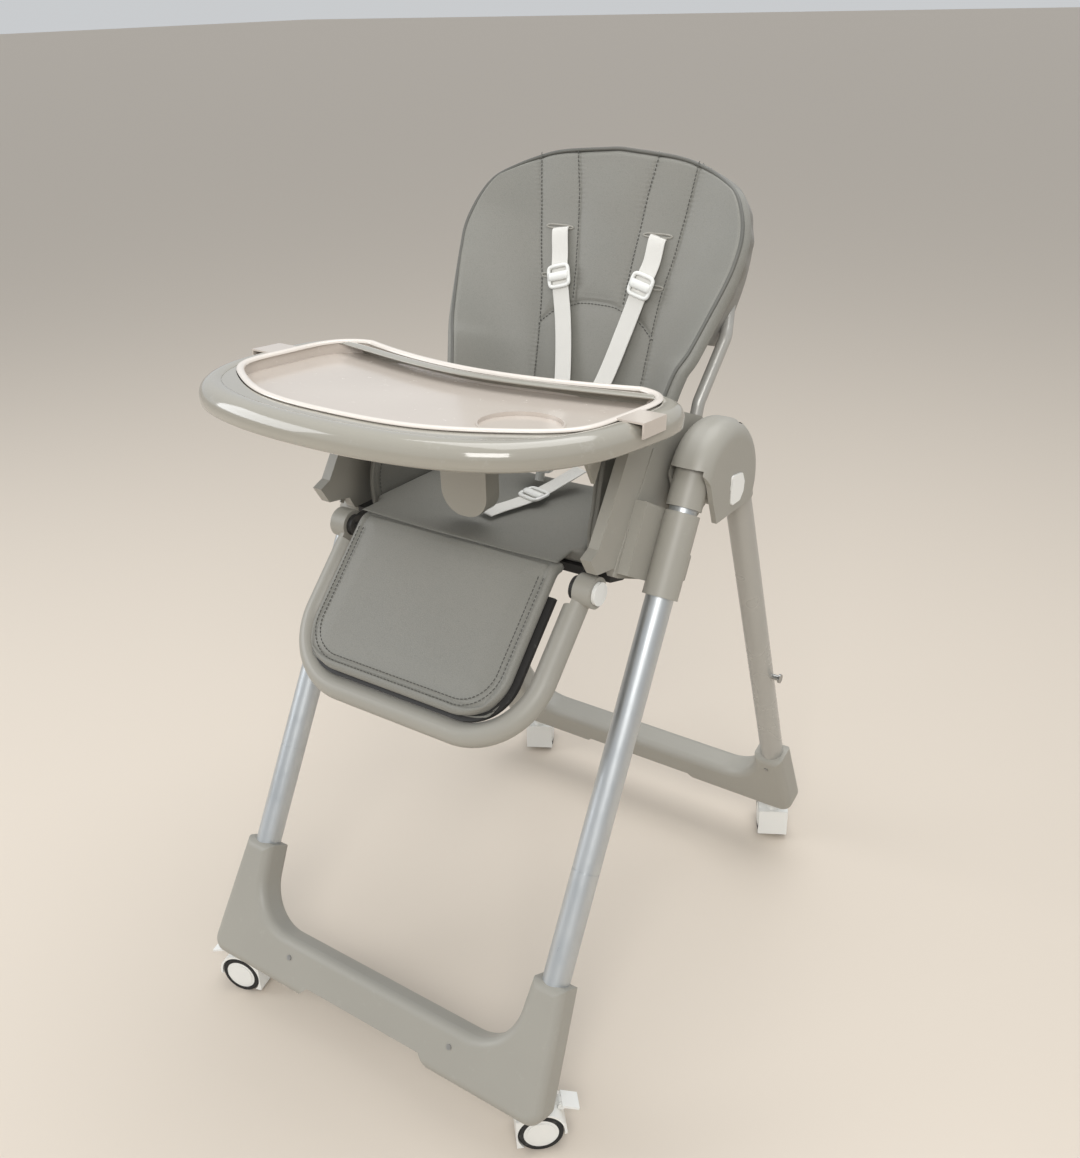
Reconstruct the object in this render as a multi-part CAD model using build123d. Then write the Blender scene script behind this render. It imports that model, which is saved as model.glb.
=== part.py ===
from build123d import *
from math import cos, radians, sin, tan
import os

# Folding baby high chair, millimetres, +Z up.
# The chair faces -Y. "left" is the child's left, on the +X side.
# The finished model stands on Z = 0 with the centre of its bounding box over the origin.

# ---- driving dimensions -------------------------------------------------------------------

# leg frames and the hinge between them
front_lean = 29.44            # front legs, degrees from vertical, tops lean back
rear_lean = 19.25             # rear legs, degrees from vertical, tops lean forward
hinge_height = 722.0          # hinge pin above the floor
hinge_offset = 51.0           # hinge pin to each leg's centre line
front_leg_x = 241.0           # centre of a front leg from the middle of the chair
rear_leg_x = 246.0
tube_radius = 17.0
tube_wall = 1.5
fit_gap = 0.05                # radial gap of a pin in its bore
slide_gap = 0.4               # gap between pieces that slide
move_gap = 1.0                # gap between pieces that swing past each other

# base covers
base_half_width = 277.0
base_thickness = 44.0
base_underside = 75.0         # bottom edge above the floor at each end
base_notch = 14.0             # how far the middle of the crossbar is raised
front_bar_top = 122.0
rear_bar_top = 136.0
front_collar_top = 209.0
rear_collar_top = 200.0
collar_wall = 6.0
base_bend = 62.0              # inner corner radius between crossbar and collar
cross_tube_radius = 11.0

# casters
caster_x = 232.0
front_caster_setback = 17.1   # stem behind the front leg line, at the base underside
rear_caster_setback = 11.4    # stem behind the rear leg line, at the base underside
wheel_radius = 27.5
wheel_width = 16.0
hub_radius = 21.5
caster_width = 46.0
caster_trail = 16.0
stem_radius = 5.5
axle_radius = 3.0
hood_skin = 3.0

# hinge
hinge_cover_radius = 80.0
hinge_cover_inner = 216.0     # inboard face of the hinge cover
hinge_cover_outer = 271.0     # outboard face of the hinge cover
hinge_skin = 3.5
hinge_pin_radius = 6.0
hinge_hub_radius = 28.0
socket_radius = 21.5
socket_below = 41.5           # leg socket below and above the hinge, along the leg
socket_above = 12.5
fold_button_travel = 5.0

# seat carriage
sleeve_radius = 21.5
sleeve_bottom = -83.0         # along the leg from the seat reference
sleeve_top = 18.0
panel_inner = 196.0           # side panel, inboard face
panel_thickness = 14.0
seat_top = 676.0
seat_pad_thickness = 24.0
seat_pad_half = 165.0
seat_wall = 12.0
seat_front = -80.0
seat_back = 104.0
lip_front = -118.0

# legrest
legrest_pivot_y = -110.0
legrest_pivot_z = 641.0
legrest_angle = 45.6          # below horizontal
legrest_length = 218.0
legrest_half = 191.0
legrest_tube = 14.5           # radius of the U frame
legrest_pad_half = 152.0
legrest_pad_length = 186.0
legrest_pad_rise = 28.5       # pad surface above the pivot axis
legrest_pad_thickness = 16.0
hub_ring_radius = 19.0
button_radius = 14.0

# backrest
back_lean = 17.0
back_root_y = 136.6           # middle of the back pad surface, produced down to back_root_z
back_root_z = 660.0
back_pad_bottom = 44.0        # along the back from its root
back_pad_height = 431.0
back_pad_half = 206.0
back_pad_thickness = 22.0
back_pivot_up = 40.0
back_pivot_forward = 36.0
back_tube_radius = 8.0
shell_thickness = 8.0
strap_width = 25.0
strap_thickness = 1.8
shoulder_slot_x = 75.0
shoulder_slot_up = 325.0

# tray
tray_tilt = 4.3               # front edge higher
tray_height = 855.0           # rim plane above the floor over the seat reference
tray_half = 275.0
tray_front = 346.0
tray_depth = 25.0
tray_skin = 3.0
insert_half = 246.0
insert_front = 303.0
insert_wall = 2.4
insert_depth = 14.0
cup_depth = 3.5
cup_radius = 45.0
cup_x = 148.0
cup_v = -176.0
rail_length = 190.0
rail_width = 20.0
rail_height = 15.0
post_width = 72.0
post_bottom = 687.0

# ---- reference points and small helpers ---------------------------------------------------

front_up = Vector(0, sin(radians(front_lean)), cos(radians(front_lean)))
front_face = Vector(0, -cos(radians(front_lean)), sin(radians(front_lean)))
rear_up = Vector(0, -sin(radians(rear_lean)), cos(radians(rear_lean)))
rear_face = Vector(0, -cos(radians(rear_lean)), -sin(radians(rear_lean)))

# The seat reference is the point of the front leg line at this height, and sits at y = 0.
reference_height = 690.0
reference = Vector(0, 0, reference_height)
hinge_rise = hinge_height - reference_height
hinge_y = (hinge_offset + hinge_rise * front_up.Y) / cos(radians(front_lean))
hinge = Vector(0, hinge_y, hinge_height)
rear_foot = hinge - rear_face * hinge_offset
across = Vector(1, 0, 0)


def rod(start, end, radius):
    """Solid cylinder between two points."""
    run = Vector(*end) - Vector(*start)
    plane = Plane(origin=start, z_dir=run)
    return plane * Cylinder(radius, run.length, align=(Align.CENTER, Align.CENTER, Align.MIN))


def pipe(start, end, outer, inner):
    """Hollow cylinder between two points."""
    run = (Vector(*end) - Vector(*start)).normalized()
    return rod(start, end, outer) - rod(Vector(*start) - run, Vector(*end) + run, inner)


def block(low, high):
    """Box between two opposite corners."""
    size = Vector(*high) - Vector(*low)
    corner = (Align.MIN, Align.MIN, Align.MIN)
    return Pos(*low) * Box(size.X, size.Y, size.Z, align=corner)


def slab(points, x_low, x_high):
    """Outline in (y, z), from one x to another."""
    outline = make_face(Polyline(*points, close=True))
    return extrude(Plane.YZ.offset(x_low) * outline, x_high - x_low)


def plate(plane, points, low, high):
    """Outline on a plane, from one height over it to another."""
    return extrude(plane.offset(low) * make_face(Polyline(*points, close=True)), high - low)


def other_side(shape):
    return mirror(shape, about=Plane.YZ)


def front_leg_point(along, x=0.0, out=0.0):
    """Point beside the front leg line; out is towards the front."""
    return reference + front_up * along + front_face * out + across * x


def rear_leg_point(height, x=0.0):
    """Point of the rear leg line at a height above the floor."""
    rise = (height - rear_foot.Z) / rear_up.Z
    return rear_foot + rear_up * rise + across * x


def front_leg_at(height, x=0.0):
    """Point of the front leg line at a height above the floor."""
    return front_leg_point((height - reference_height) / front_up.Z, x)


nodes = {}


def add_pair(name, shape):
    nodes[name + "_left"] = shape
    nodes[name + "_right"] = other_side(shape)


# ---- leg frames ---------------------------------------------------------------------------

def base_cover(floor_point, up, face, leg_x, bar_top, collar_top, tilt):
    """U-shaped cover: a crossbar with a collar rising at each end, in the plane of its legs."""
    plane = Plane(origin=floor_point, x_dir=across, z_dir=face)
    step = 1 / up.Z
    inner = leg_x - tube_radius - collar_wall
    outer = leg_x + tube_radius + collar_wall
    low = base_underside * step - base_thickness / 2 * tan(radians(tilt))
    right = [(base_half_width, low), (outer, collar_top * step), (inner, collar_top * step)]
    right.append((inner - 8, bar_top * step))
    left = [(-x, s) for x, s in reversed(right)]
    face_outline = make_face(Polyline(*right, *left, close=True))
    inside = [v for v in face_outline.vertices() if abs(abs(v.X) - inner + 8) < 1]
    face_outline = fillet(inside, base_bend)
    foot = [v for v in face_outline.vertices() if abs(v.X) > base_half_width - 1]
    face_outline = fillet(foot, 20)
    cover = extrude(plane.offset(-base_thickness / 2) * face_outline, base_thickness)
    rims = cover.faces().filter_by(Axis((0, 0, 0), (face.X, face.Y, face.Z))).edges()
    cover = fillet(rims, 12)
    cover -= block((-400, floor_point.Y - 400, -50), (400, floor_point.Y + 400, base_underside))
    notch = [(-110, base_underside - 1), (110, base_underside - 1), (95, base_underside + base_notch)]
    notch.append((-95, base_underside + base_notch))
    cover -= extrude(Plane.XZ * make_face(Polyline(*notch, close=True)), 600, both=True)
    return cover


front_floor = front_leg_at(0)
rear_floor = rear_leg_point(0)
front_cover = base_cover(front_floor, front_up, front_face, front_leg_x,
                         front_bar_top, front_collar_top, front_lean)
rear_cover = base_cover(rear_floor, rear_up, rear_face, rear_leg_x,
                        rear_bar_top, rear_collar_top, -rear_lean)

front_bar_middle = front_leg_at((base_underside + base_notch + front_bar_top) / 2 + 4)
rear_bar_middle = rear_leg_point((base_underside + base_notch + rear_bar_top) / 2 + 4)
cross_half = front_leg_x - tube_radius - 4


def cross_tube(middle):
    start = middle - across * cross_half
    end = middle + across * cross_half
    hollow = pipe(start, end, cross_tube_radius, cross_tube_radius - tube_wall)
    return hollow, rod(start, end, cross_tube_radius)


front_tube, front_tube_bore = cross_tube(front_bar_middle)
rear_tube, rear_tube_bore = cross_tube(rear_bar_middle)
nodes["front_cross_tube"] = front_tube
nodes["rear_cross_tube"] = rear_tube

tube_foot = base_underside + 30
hinge_along = (hinge - reference).dot(front_up)
socket_start = hinge_along - socket_below
socket_end = hinge_along + socket_above
front_tube_end = hinge_along - 7.5
rear_tube_top = hinge_height + 14


def leg_tube(start, end):
    return pipe(start, end, tube_radius, tube_radius - tube_wall)


front_leg = leg_tube(front_leg_at(tube_foot, front_leg_x), front_leg_point(front_tube_end, front_leg_x))
ring = (328.0 - reference_height) / front_up.Z
groove = pipe(front_leg_point(ring - 1, front_leg_x), front_leg_point(ring + 1, front_leg_x),
              tube_radius + 2, tube_radius - 0.6)
add_pair("front_leg_tube", front_leg - groove)
rear_leg = leg_tube(rear_leg_point(tube_foot, rear_leg_x), rear_leg_point(rear_tube_top, rear_leg_x))
add_pair("rear_leg_tube", rear_leg)

stem_top = base_underside + 26
front_caster_y = front_leg_at(base_underside).Y + front_caster_setback
rear_caster_y = rear_leg_point(base_underside).Y + rear_caster_setback
caster_places = {}
caster_places["front_left"] = (caster_x, front_caster_y, 132.0)
caster_places["front_right"] = (-caster_x, front_caster_y, -74.0)
caster_places["rear_left"] = (caster_x, rear_caster_y, -151.0)
caster_places["rear_right"] = (-caster_x, rear_caster_y, -151.0)

stem_boss_wall = 6.0


def stem_boss(side, y):
    """Thick round wall inside a base cover that holds a caster stem."""
    low = (side * caster_x, y, base_underside)
    return rod(low, (side * caster_x, y, stem_top + stem_boss_wall), stem_radius + stem_boss_wall)


def stem_bore(side, y):
    low = (side * caster_x, y, base_underside - 5)
    return rod(low, (side * caster_x, y, stem_top + 1), stem_radius + fit_gap)


for side in (1, -1):
    front_bore = rod(front_leg_at(tube_foot, side * front_leg_x),
                     front_leg_at(front_collar_top + 40, side * front_leg_x), tube_radius)
    rear_bore = rod(rear_leg_point(tube_foot, side * rear_leg_x),
                    rear_leg_point(rear_collar_top + 40, side * rear_leg_x), tube_radius)
    front_cover = front_cover - front_bore + (stem_boss(side, front_caster_y) - front_bore)
    front_cover -= stem_bore(side, front_caster_y)
    rear_cover = rear_cover - rear_bore + (stem_boss(side, rear_caster_y) - rear_bore)
    rear_cover -= stem_bore(side, rear_caster_y)
front_cover -= front_tube_bore
rear_cover -= rear_tube_bore

screw_radius = 3.4


def screw(point, face, length=10.0):
    """Pan-head screw whose head stands 1.2 mm proud of a surface."""
    head = rod(point, point + face * 1.2, screw_radius)
    return head + rod(point - face * length, point, screw_radius * 0.5)


def cover_screws(places, face, point_at):
    shapes = []
    for x, height in places:
        shapes.append(screw(point_at(height, x) + face * (base_thickness / 2), face, 4.0))
    return shapes


front_screws = cover_screws([(-136, 101), (136, 101)], front_face, front_leg_at)
rear_screws = cover_screws([(-rear_leg_x + 2, 178), (rear_leg_x - 2, 178)], rear_face, rear_leg_point)
for one in front_screws:
    front_cover -= one
for one in rear_screws:
    rear_cover -= one
nodes["front_base_cover"] = front_cover
nodes["rear_base_cover"] = rear_cover

# ---- hinge --------------------------------------------------------------------------------

hinge_middle = (hinge_cover_inner + hinge_cover_outer) / 2
socket_arm_width = 26.0
hub_low = hinge_middle - 15
hub_high = hinge_middle + 15

socket = rod(front_leg_point(socket_start, front_leg_x), front_leg_point(socket_end, front_leg_x),
             socket_radius)
arm = Plane(origin=hinge + across * hub_low, x_dir=front_face, z_dir=across)
arm_face = arm * Pos(hinge_offset / 2, 0) * Rectangle(hinge_offset, socket_arm_width)
arm_shape = extrude(arm_face, hub_high - hub_low)
hub = rod(hinge + across * hub_low, hinge + across * hub_high, hinge_hub_radius - 1.5)
pin_bore = rod(hinge + across * (hub_low - 5), hinge + across * (hub_high + 5), hinge_pin_radius)
tube_space = rod(front_leg_point(socket_start - 5, front_leg_x),
                 front_leg_point(front_tube_end, front_leg_x), tube_radius)
leg_socket = socket + arm_shape + hub - pin_bore - tube_space
socket_screw_at = front_leg_point(front_tube_end - 2, front_leg_x) + across * socket_radius
socket_screw = screw(socket_screw_at, across, 3.5)
leg_socket -= socket_screw
add_pair("leg_socket", leg_socket)
nodes["front_frame_screws"] = Compound(children=front_screws + [socket_screw, other_side(socket_screw)])

pin_low = hinge_cover_inner - 1
pin_high = hinge_cover_outer - 9
hinge_pin = rod(hinge + across * pin_low, hinge + across * pin_high, hinge_pin_radius)
nodes["fold_pivot_pins"] = Compound(children=[hinge_pin, other_side(hinge_pin)])


def hinge_disc(radius, low, high):
    return rod(hinge + across * low, hinge + across * high, radius)


dome = hinge_disc(hinge_cover_radius, hinge_cover_inner, hinge_cover_outer)
dome = fillet(dome.edges().filter_by(GeomType.CIRCLE), 22)
cavity_low = hinge_cover_inner + hinge_skin
cavity_high = hinge_cover_outer - 6.5
dome -= fillet(hinge_disc(hinge_cover_radius - hinge_skin, cavity_low, cavity_high)
               .edges().filter_by(GeomType.CIRCLE), 18)
cheek_drop = 34.0
mouth = [(-120, -150), (-120, 34), (-70, 41), (-56, 19), (-48, -6), (-38, -cheek_drop)]
mouth += [(140, -cheek_drop), (140, -150)]
dome -= slab([(hinge.Y + a, hinge.Z + b) for a, b in mouth], 150, 320)
mouth_inside = [(-120, -150), (-120, 34), (-70, 41), (-40, 30), (-20, -10), (10, -24), (20, -150)]
dome -= slab([(hinge.Y + a, hinge.Z + b) for a, b in mouth_inside], cavity_low, cavity_high)
collar_low = rear_leg_point(hinge_height - cheek_drop - 4, rear_leg_x)
collar_high = rear_leg_point(rear_tube_top, rear_leg_x)
collar = rod(collar_low, collar_high, tube_radius + 2.5)
collar -= hinge_disc(hinge_hub_radius + 2, 200, 300)
dome = dome + collar - rod(collar_low - rear_up * 5, collar_high + rear_up * 60, tube_radius)
dome -= rod(hinge + across * 200, hinge + across * 300, hinge_pin_radius + fit_gap)

button_outline = [(-10, -19), (12, -19), (21, -10), (23, 2), (17, 15), (-10, 19)]


def fold_button_outline(grow):
    face_outline = make_face(Polyline(*button_outline, close=True))
    face_outline = fillet(face_outline.vertices(), 4)
    return offset(face_outline, amount=grow) if grow else face_outline


button_plane = Plane(origin=(0, hinge.Y + 6, hinge.Z - 4), x_dir=(0, 1, 0), z_dir=across)
fold_button = extrude(button_plane.offset(hinge_cover_outer - 4.0) * fold_button_outline(0), 6.0)
window = extrude(button_plane.offset(cavity_high - 2) * fold_button_outline(slide_gap), 20)
dome -= window
add_pair("hinge_cover", dome)
add_pair("fold_button", fold_button)

hanger_at = rear_leg_point(367.0, rear_leg_x) + across * (tube_radius - 1)
hanger_length = 14.0
hanger_head = 3.0
hanger_end = hanger_at + across * hanger_length
hanger = rod(hanger_at, hanger_end, 4) + rod(hanger_end - across * hanger_head, hanger_end, 6.5)
hanger -= rod(rear_leg_point(300, rear_leg_x), rear_leg_point(430, rear_leg_x), tube_radius)
nodes["tray_hanger_pins"] = Compound(children=[hanger, other_side(hanger)])
nodes["rear_frame_screws"] = Compound(children=rear_screws)

# ---- casters ------------------------------------------------------------------------------

def caster_pieces():
    """One caster at the origin: stem on the Z axis, wheels trailing towards -Y."""
    axle_at = Vector(0, -caster_trail, wheel_radius)
    hood_radius = wheel_radius + 1.2 + hood_skin
    half = caster_width / 2
    front = caster_trail + 14.0

    def about_axle(radius, low, high):
        return rod(axle_at + across * low, axle_at + across * high, radius)

    hood = about_axle(hood_radius, -half, half)
    hood -= block((-half - 1, axle_at.Y - 60, -20), (half + 1, axle_at.Y, wheel_radius - 4))
    hood -= block((-half - 1, axle_at.Y, -20), (half + 1, 60, wheel_radius))
    hood += block((-half, axle_at.Y, 8), (half, axle_at.Y + front, wheel_radius + 25))
    hood = hood & block((-half, axle_at.Y - 60, 6), (half, axle_at.Y + front, 80))
    web = about_axle(wheel_radius - 8, -5, 5)
    hood += web & block((-6, axle_at.Y - 40, 8), (6, 40, 90))
    hood += rod((0, 0, wheel_radius + 25), (0, 0, base_underside - 0.6), 10)
    hood -= about_axle(axle_radius + fit_gap, -10, 10)
    stem = rod((0, 0, base_underside - 0.6), (0, 0, stem_top), stem_radius)
    lug_at = axle_at + Vector(0, -sin(radians(48)), cos(radians(48))) * (hood_radius + 5)
    lug = rod(lug_at - across * 4, lug_at + across * 4, 5)
    lug += rod(lug_at - across * 4 + Vector(0, 3, -3), lug_at + across * 4 + Vector(0, 3, -3), 5)
    for side in (1, -1):
        lug -= rod(axle_at + across * 4.9 * side, axle_at + across * 30 * side, wheel_radius + 1.2)
    hood = hood + stem + lug
    hood -= rod(lug_at - across * 8, lug_at + across * 8, 1.5 + fit_gap)
    for side in (1, -1):
        hood -= rod(axle_at + across * 5 * side, axle_at + across * (half + 1) * side, wheel_radius + 1.2)

    lever = Plane(origin=lug_at, x_dir=across, z_dir=(0, -sin(radians(20)), cos(radians(20))))
    tab = lever * Pos(0, -9.5, 4.4) * Box(24, 22, 3)
    cheeks = rod(lug_at - across * 8, lug_at - across * 4.5, 4.6)
    cheeks += rod(lug_at + across * 4.5, lug_at + across * 8, 4.6)
    brake = tab - rod(lug_at - across * 4.5, lug_at + across * 4.5, 5.9) + cheeks
    brake += rod(lug_at - across * 4.6, lug_at + across * 4.6, 1.5)

    axle = about_axle(axle_radius, -half + 2, half - 2)
    disc = about_axle(hub_radius, half - wheel_width, half - 1) + about_axle(hub_radius - 4, half - 1, half)
    disc -= about_axle(axle_radius, half - wheel_width - 1, half - 2)
    tyre = about_axle(wheel_radius, half - wheel_width, half - 0.5)
    tyre = fillet(tyre.edges().filter_by(GeomType.CIRCLE), 2) - about_axle(hub_radius, 0, half + 1)
    discs = [axle, disc, mirror(disc, about=Plane.YZ)]
    tyres = [tyre, mirror(tyre, about=Plane.YZ)]
    return {"hood": hood, "brake": brake, "hubs": discs, "tyres": tyres, "lug": lug_at, "axle": axle_at}


caster = caster_pieces()
for place, (x, y, turn) in caster_places.items():
    where = Pos(x, y, 0) * Rot(0, 0, turn)
    nodes["caster_hood_" + place] = where * caster["hood"]
    nodes["caster_brake_" + place] = where * caster["brake"]
    nodes["caster_hubs_" + place] = Compound(children=[where * s for s in caster["hubs"]])
    nodes["caster_tyres_" + place] = Compound(children=[where * s for s in caster["tyres"]])

# ---- seat carriage ------------------------------------------------------------------------

sleeve_low = front_leg_point(sleeve_bottom, front_leg_x)
sleeve_high = front_leg_point(sleeve_top, front_leg_x)
sleeve_bore = rod(sleeve_low - front_up * 5, sleeve_high + front_up * 5, tube_radius + slide_gap)
web_outline = [(sleeve_bottom + 14, 62), (sleeve_top, 62), (sleeve_top, 0), (sleeve_bottom + 14, 0)]
web_points = []
for along, out in web_outline:
    spot = front_leg_point(along, 0, out)
    web_points.append((spot.Y, spot.Z))
panel_outer = panel_inner + panel_thickness
web = slab(web_points, panel_outer, front_leg_x - tube_radius + 1)
sleeve = rod(sleeve_low, sleeve_high, sleeve_radius) + web - sleeve_bore
add_pair("slide_sleeve", sleeve)

tray_plane = Plane(origin=(0, 0, tray_height), x_dir=across,
                   z_dir=(0, sin(radians(tray_tilt)), cos(radians(tray_tilt))))
tray_back = Vector(0, cos(radians(tray_tilt)), -sin(radians(tray_tilt)))
tray_up = Vector(0, sin(radians(tray_tilt)), cos(radians(tray_tilt)))


def tray_point(v, n, x=0.0):
    """Point beside the tray's rim plane; v is towards the back and n is up."""
    return Vector(0, 0, tray_height) + tray_back * v + tray_up * n + across * x


rail_top = -(tray_depth + tray_skin + 4)
rail_back = 40.0
back_up = Vector(0, sin(radians(back_lean)), cos(radians(back_lean)))
back_front = Vector(0, -cos(radians(back_lean)), sin(radians(back_lean)))
back_root = Vector(0, back_root_y, back_root_z)


def back_point(x, up, front):
    return back_root + across * x + back_up * up + back_front * front


recline_pivot = back_point(0, back_pivot_up, back_pivot_forward)
legrest_pivot = Vector(0, legrest_pivot_y, legrest_pivot_z)
panel_top_front = tray_point(-40, rail_top - 1)
panel_top_back = tray_point(rail_back, rail_top - 1)
panel_outline = [(-141, 696), (-128, 674), (-92, 668), (-84, 652), (-29, 628), (60, 640), (128, 668),
                 (152, 705), (140, 760), (110, 790), (panel_top_back.Y, panel_top_back.Z),
                 (panel_top_front.Y, panel_top_front.Z), (-89, 754), (-124, 703)]
panel = slab(panel_outline, panel_inner, panel_outer)
ridge = slab([(-9, 785), (-3, 785), (-90, 656), (-96, 660)], panel_outer, panel_outer + 1.4)
panel += ridge - slab(web_points, panel_outer - 1, panel_outer + 5)


def rail_box(x_low, x_high, v_low, v_high, n_low, n_high):
    """Box square to the tray plane."""
    middle = Pos((x_low + x_high) / 2, (v_low + v_high) / 2, (n_low + n_high) / 2)
    return tray_plane * middle * Box(x_high - x_low, v_high - v_low, n_high - n_low)


rail_inner = panel_inner - 3
rail_outer = rail_inner + rail_width
panel += rail_box(rail_inner, rail_outer, rail_back - rail_length, rail_back,
                  rail_top - rail_height, rail_top)
panel -= rod(recline_pivot + across * 150, recline_pivot + across * 220, 5)
add_pair("side_panel", panel)

shell_half = panel_inner
shell_floor = seat_top - seat_pad_thickness
shell_outline = [(-78, shell_floor - 12), (-78, shell_floor - 1), (seat_back + 4, shell_floor - 1),
                 (seat_back + 4, shell_floor - 12), (60, shell_floor - 20), (-50, shell_floor - 20)]
shell = slab(shell_outline, -shell_half, shell_half)
shell -= block((-170, -60, shell_floor - 40), (170, 80, shell_floor - 6))
bracket_inner = 168.0
bracket_outer = 175.0
bracket_outline = [(-118, 632), (-103, 630), (-60, shell_floor - 18), (-60, shell_floor - 2),
                   (-96, 655), (-117, 650)]
for side in (1, -1):
    bracket = slab(bracket_outline, bracket_inner, bracket_outer)
    bracket += rod(legrest_pivot + across * bracket_inner, legrest_pivot + across * bracket_outer, 14)
    bracket -= rod(legrest_pivot + across * 160, legrest_pivot + across * 190, 5)
    shell += bracket if side > 0 else other_side(bracket)
nodes["seat_shell"] = shell

pad = block((-seat_pad_half, seat_front, seat_top - seat_pad_thickness),
            (seat_pad_half, seat_back, seat_top))
pad += block((-150, lip_front, seat_top - 5.6), (150, seat_front + 1, seat_top))
wall_outline = [(-76, seat_top - 20), (-76, seat_top + 20), (-62, 752), (-50, 786), (62, 786),
                (seat_back - 20, 740), (seat_back - 16, seat_top - 20)]
for side in (1, -1):
    wall = slab(wall_outline, seat_pad_half - 1, seat_pad_half + seat_wall)
    pad += wall if side > 0 else other_side(wall)
nodes["seat_pad"] = pad

pins = []
for side in (1, -1):
    pins.append(rod(recline_pivot + across * 170 * side, recline_pivot + across * panel_outer * side, 5))
    pins.append(rod(legrest_pivot + across * 163 * side, legrest_pivot + across * 193 * side, 5))
nodes["seat_pivot_pins"] = Compound(children=pins)

lever_housing_out = -(sleeve_radius + 0.4)
lever_plane = Plane(origin=front_leg_point(-42, front_leg_x, lever_housing_out),
                    x_dir=across, z_dir=front_face)
height_lever = lever_plane * Pos(0, 0, -5) * Box(22, 34, 9)
height_lever = fillet(height_lever.edges().filter_by(Axis((0, 0, 0), (0, front_face.Y, front_face.Z))), 4)
add_pair("height_lever", height_lever)


def ribbon(points, width, thickness):
    """Flat strap along a run of points, each (x, point on the centre line), lying across X."""
    pieces = None
    for start, end in zip(points[:-1], points[1:]):
        run = end - start
        side = across - run.normalized() * across.dot(run.normalized())
        plane = Plane(origin=(start + end) * 0.5, x_dir=side, z_dir=side.cross(run))
        piece = plane * Box(width, run.length + thickness * 0.5, thickness)
        pieces = piece if pieces is None else pieces + piece
    return pieces


lap_points = [Vector(52, 84, seat_top + 22), Vector(43, 62, seat_top + 17), Vector(32, 39, seat_top + 8),
              Vector(20, -12, seat_top + 3.5), Vector(6, -61, seat_top + 2)]
nodes["lap_strap"] = ribbon(lap_points, strap_width, strap_thickness)
buckle_at = Vector(0, 72, seat_top + 34)
buckle_plane = Plane(origin=buckle_at, x_dir=across, z_dir=(0, -0.5, 0.866))
buckle = buckle_plane * Box(44, 40, 14)
buckle = fillet(buckle.edges().filter_by(Axis((0, 0, 0), (0, -0.5, 0.866))), 9)
buckle += rod((0, 62, seat_top + 4), buckle_at, 6)
nodes["harness_buckle"] = buckle

# ---- legrest ------------------------------------------------------------------------------

leg_down = Vector(0, -cos(radians(legrest_angle)), -sin(radians(legrest_angle)))
leg_normal = Vector(0, -sin(radians(legrest_angle)), cos(radians(legrest_angle)))
legrest_plane = Plane(origin=legrest_pivot, x_dir=across, z_dir=leg_normal)


def legrest_point(x, down, rise):
    return legrest_pivot + across * x + leg_down * down + leg_normal * rise


frame_x = legrest_half - legrest_tube
frame_end = legrest_length - legrest_tube
frame_drop = -5.0
path = FilletPolyline(legrest_point(-frame_x, 8, frame_drop), legrest_point(-frame_x, frame_end, frame_drop),
                      legrest_point(frame_x, frame_end, frame_drop), legrest_point(frame_x, 8, frame_drop),
                      radius=88)
tube_start = Plane(origin=legrest_point(-frame_x, 8, frame_drop), z_dir=leg_down)
legrest_frame = sweep(tube_start * Circle(legrest_tube), path=path)
hub_inner = bracket_outer + move_gap * 0.6
hub_outer = 199.0
for side in (1, -1):
    ring_hub = rod(legrest_pivot + across * hub_inner, legrest_pivot + across * hub_outer, hub_ring_radius)
    ring_hub -= rod(legrest_pivot + across * (hub_inner - 9), legrest_pivot + across * 194, 5 + fit_gap)
    ring_hub -= rod(legrest_pivot + across * 194, legrest_pivot + across * 205, button_radius + slide_gap)
    piece = ring_hub if side > 0 else other_side(ring_hub)
    keep_clear = rod(legrest_pivot + across * 160 * side, legrest_pivot + across * hub_inner * side, 24)
    inner_bore = rod(legrest_pivot + across * 160 * side, legrest_pivot + across * 194 * side, 5 + fit_gap)
    legrest_frame = legrest_frame - keep_clear + piece - inner_bore
nodes["legrest_frame"] = legrest_frame
button = rod(legrest_pivot + across * 199, legrest_pivot + across * 203.5, button_radius)
add_pair("legrest_button", button)


def rounded_tongue(half, start, end, corner, low, high):
    """Board in the legrest plane: straight at the top, round corners at the bottom."""
    outline = make_face(Polyline((-half, -start), (half, -start), (half, -end), (-half, -end), close=True))
    bottom = [v for v in outline.vertices() if v.Y < -end + 1]
    return extrude(legrest_plane.offset(low) * fillet(bottom, corner), high - low)


board_low = legrest_pad_rise - legrest_pad_thickness - 6.5
nodes["legrest_panel"] = rounded_tongue(157, 22, legrest_pad_length + 4, 62, board_low, board_low + 6)
tongue = rounded_tongue(legrest_pad_half, 0, legrest_pad_length, 58,
                        legrest_pad_rise - legrest_pad_thickness, legrest_pad_rise)
roll = rod(legrest_pivot - across * 150, legrest_pivot + across * 150, legrest_pad_rise)
roll -= rod(legrest_pivot - across * 160, legrest_pivot + across * 160,
            legrest_pad_rise - legrest_pad_thickness)
start_dir = legrest_point(0, 0.5, 0) - legrest_pivot
roll_cut = [(legrest_pivot.Y + 1 * start_dir.Y, legrest_pivot.Z + 1 * start_dir.Z)]
roll_cut.append((legrest_pivot.Y + 60 * leg_normal.Y, legrest_pivot.Z + 60 * leg_normal.Z))
roll_cut.append((legrest_pivot.Y + 12, legrest_pivot.Z + 60))
roll = roll & slab(roll_cut, -150, 150)
nodes["legrest_pad"] = tongue + roll

# ---- backrest -----------------------------------------------------------------------------

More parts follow.
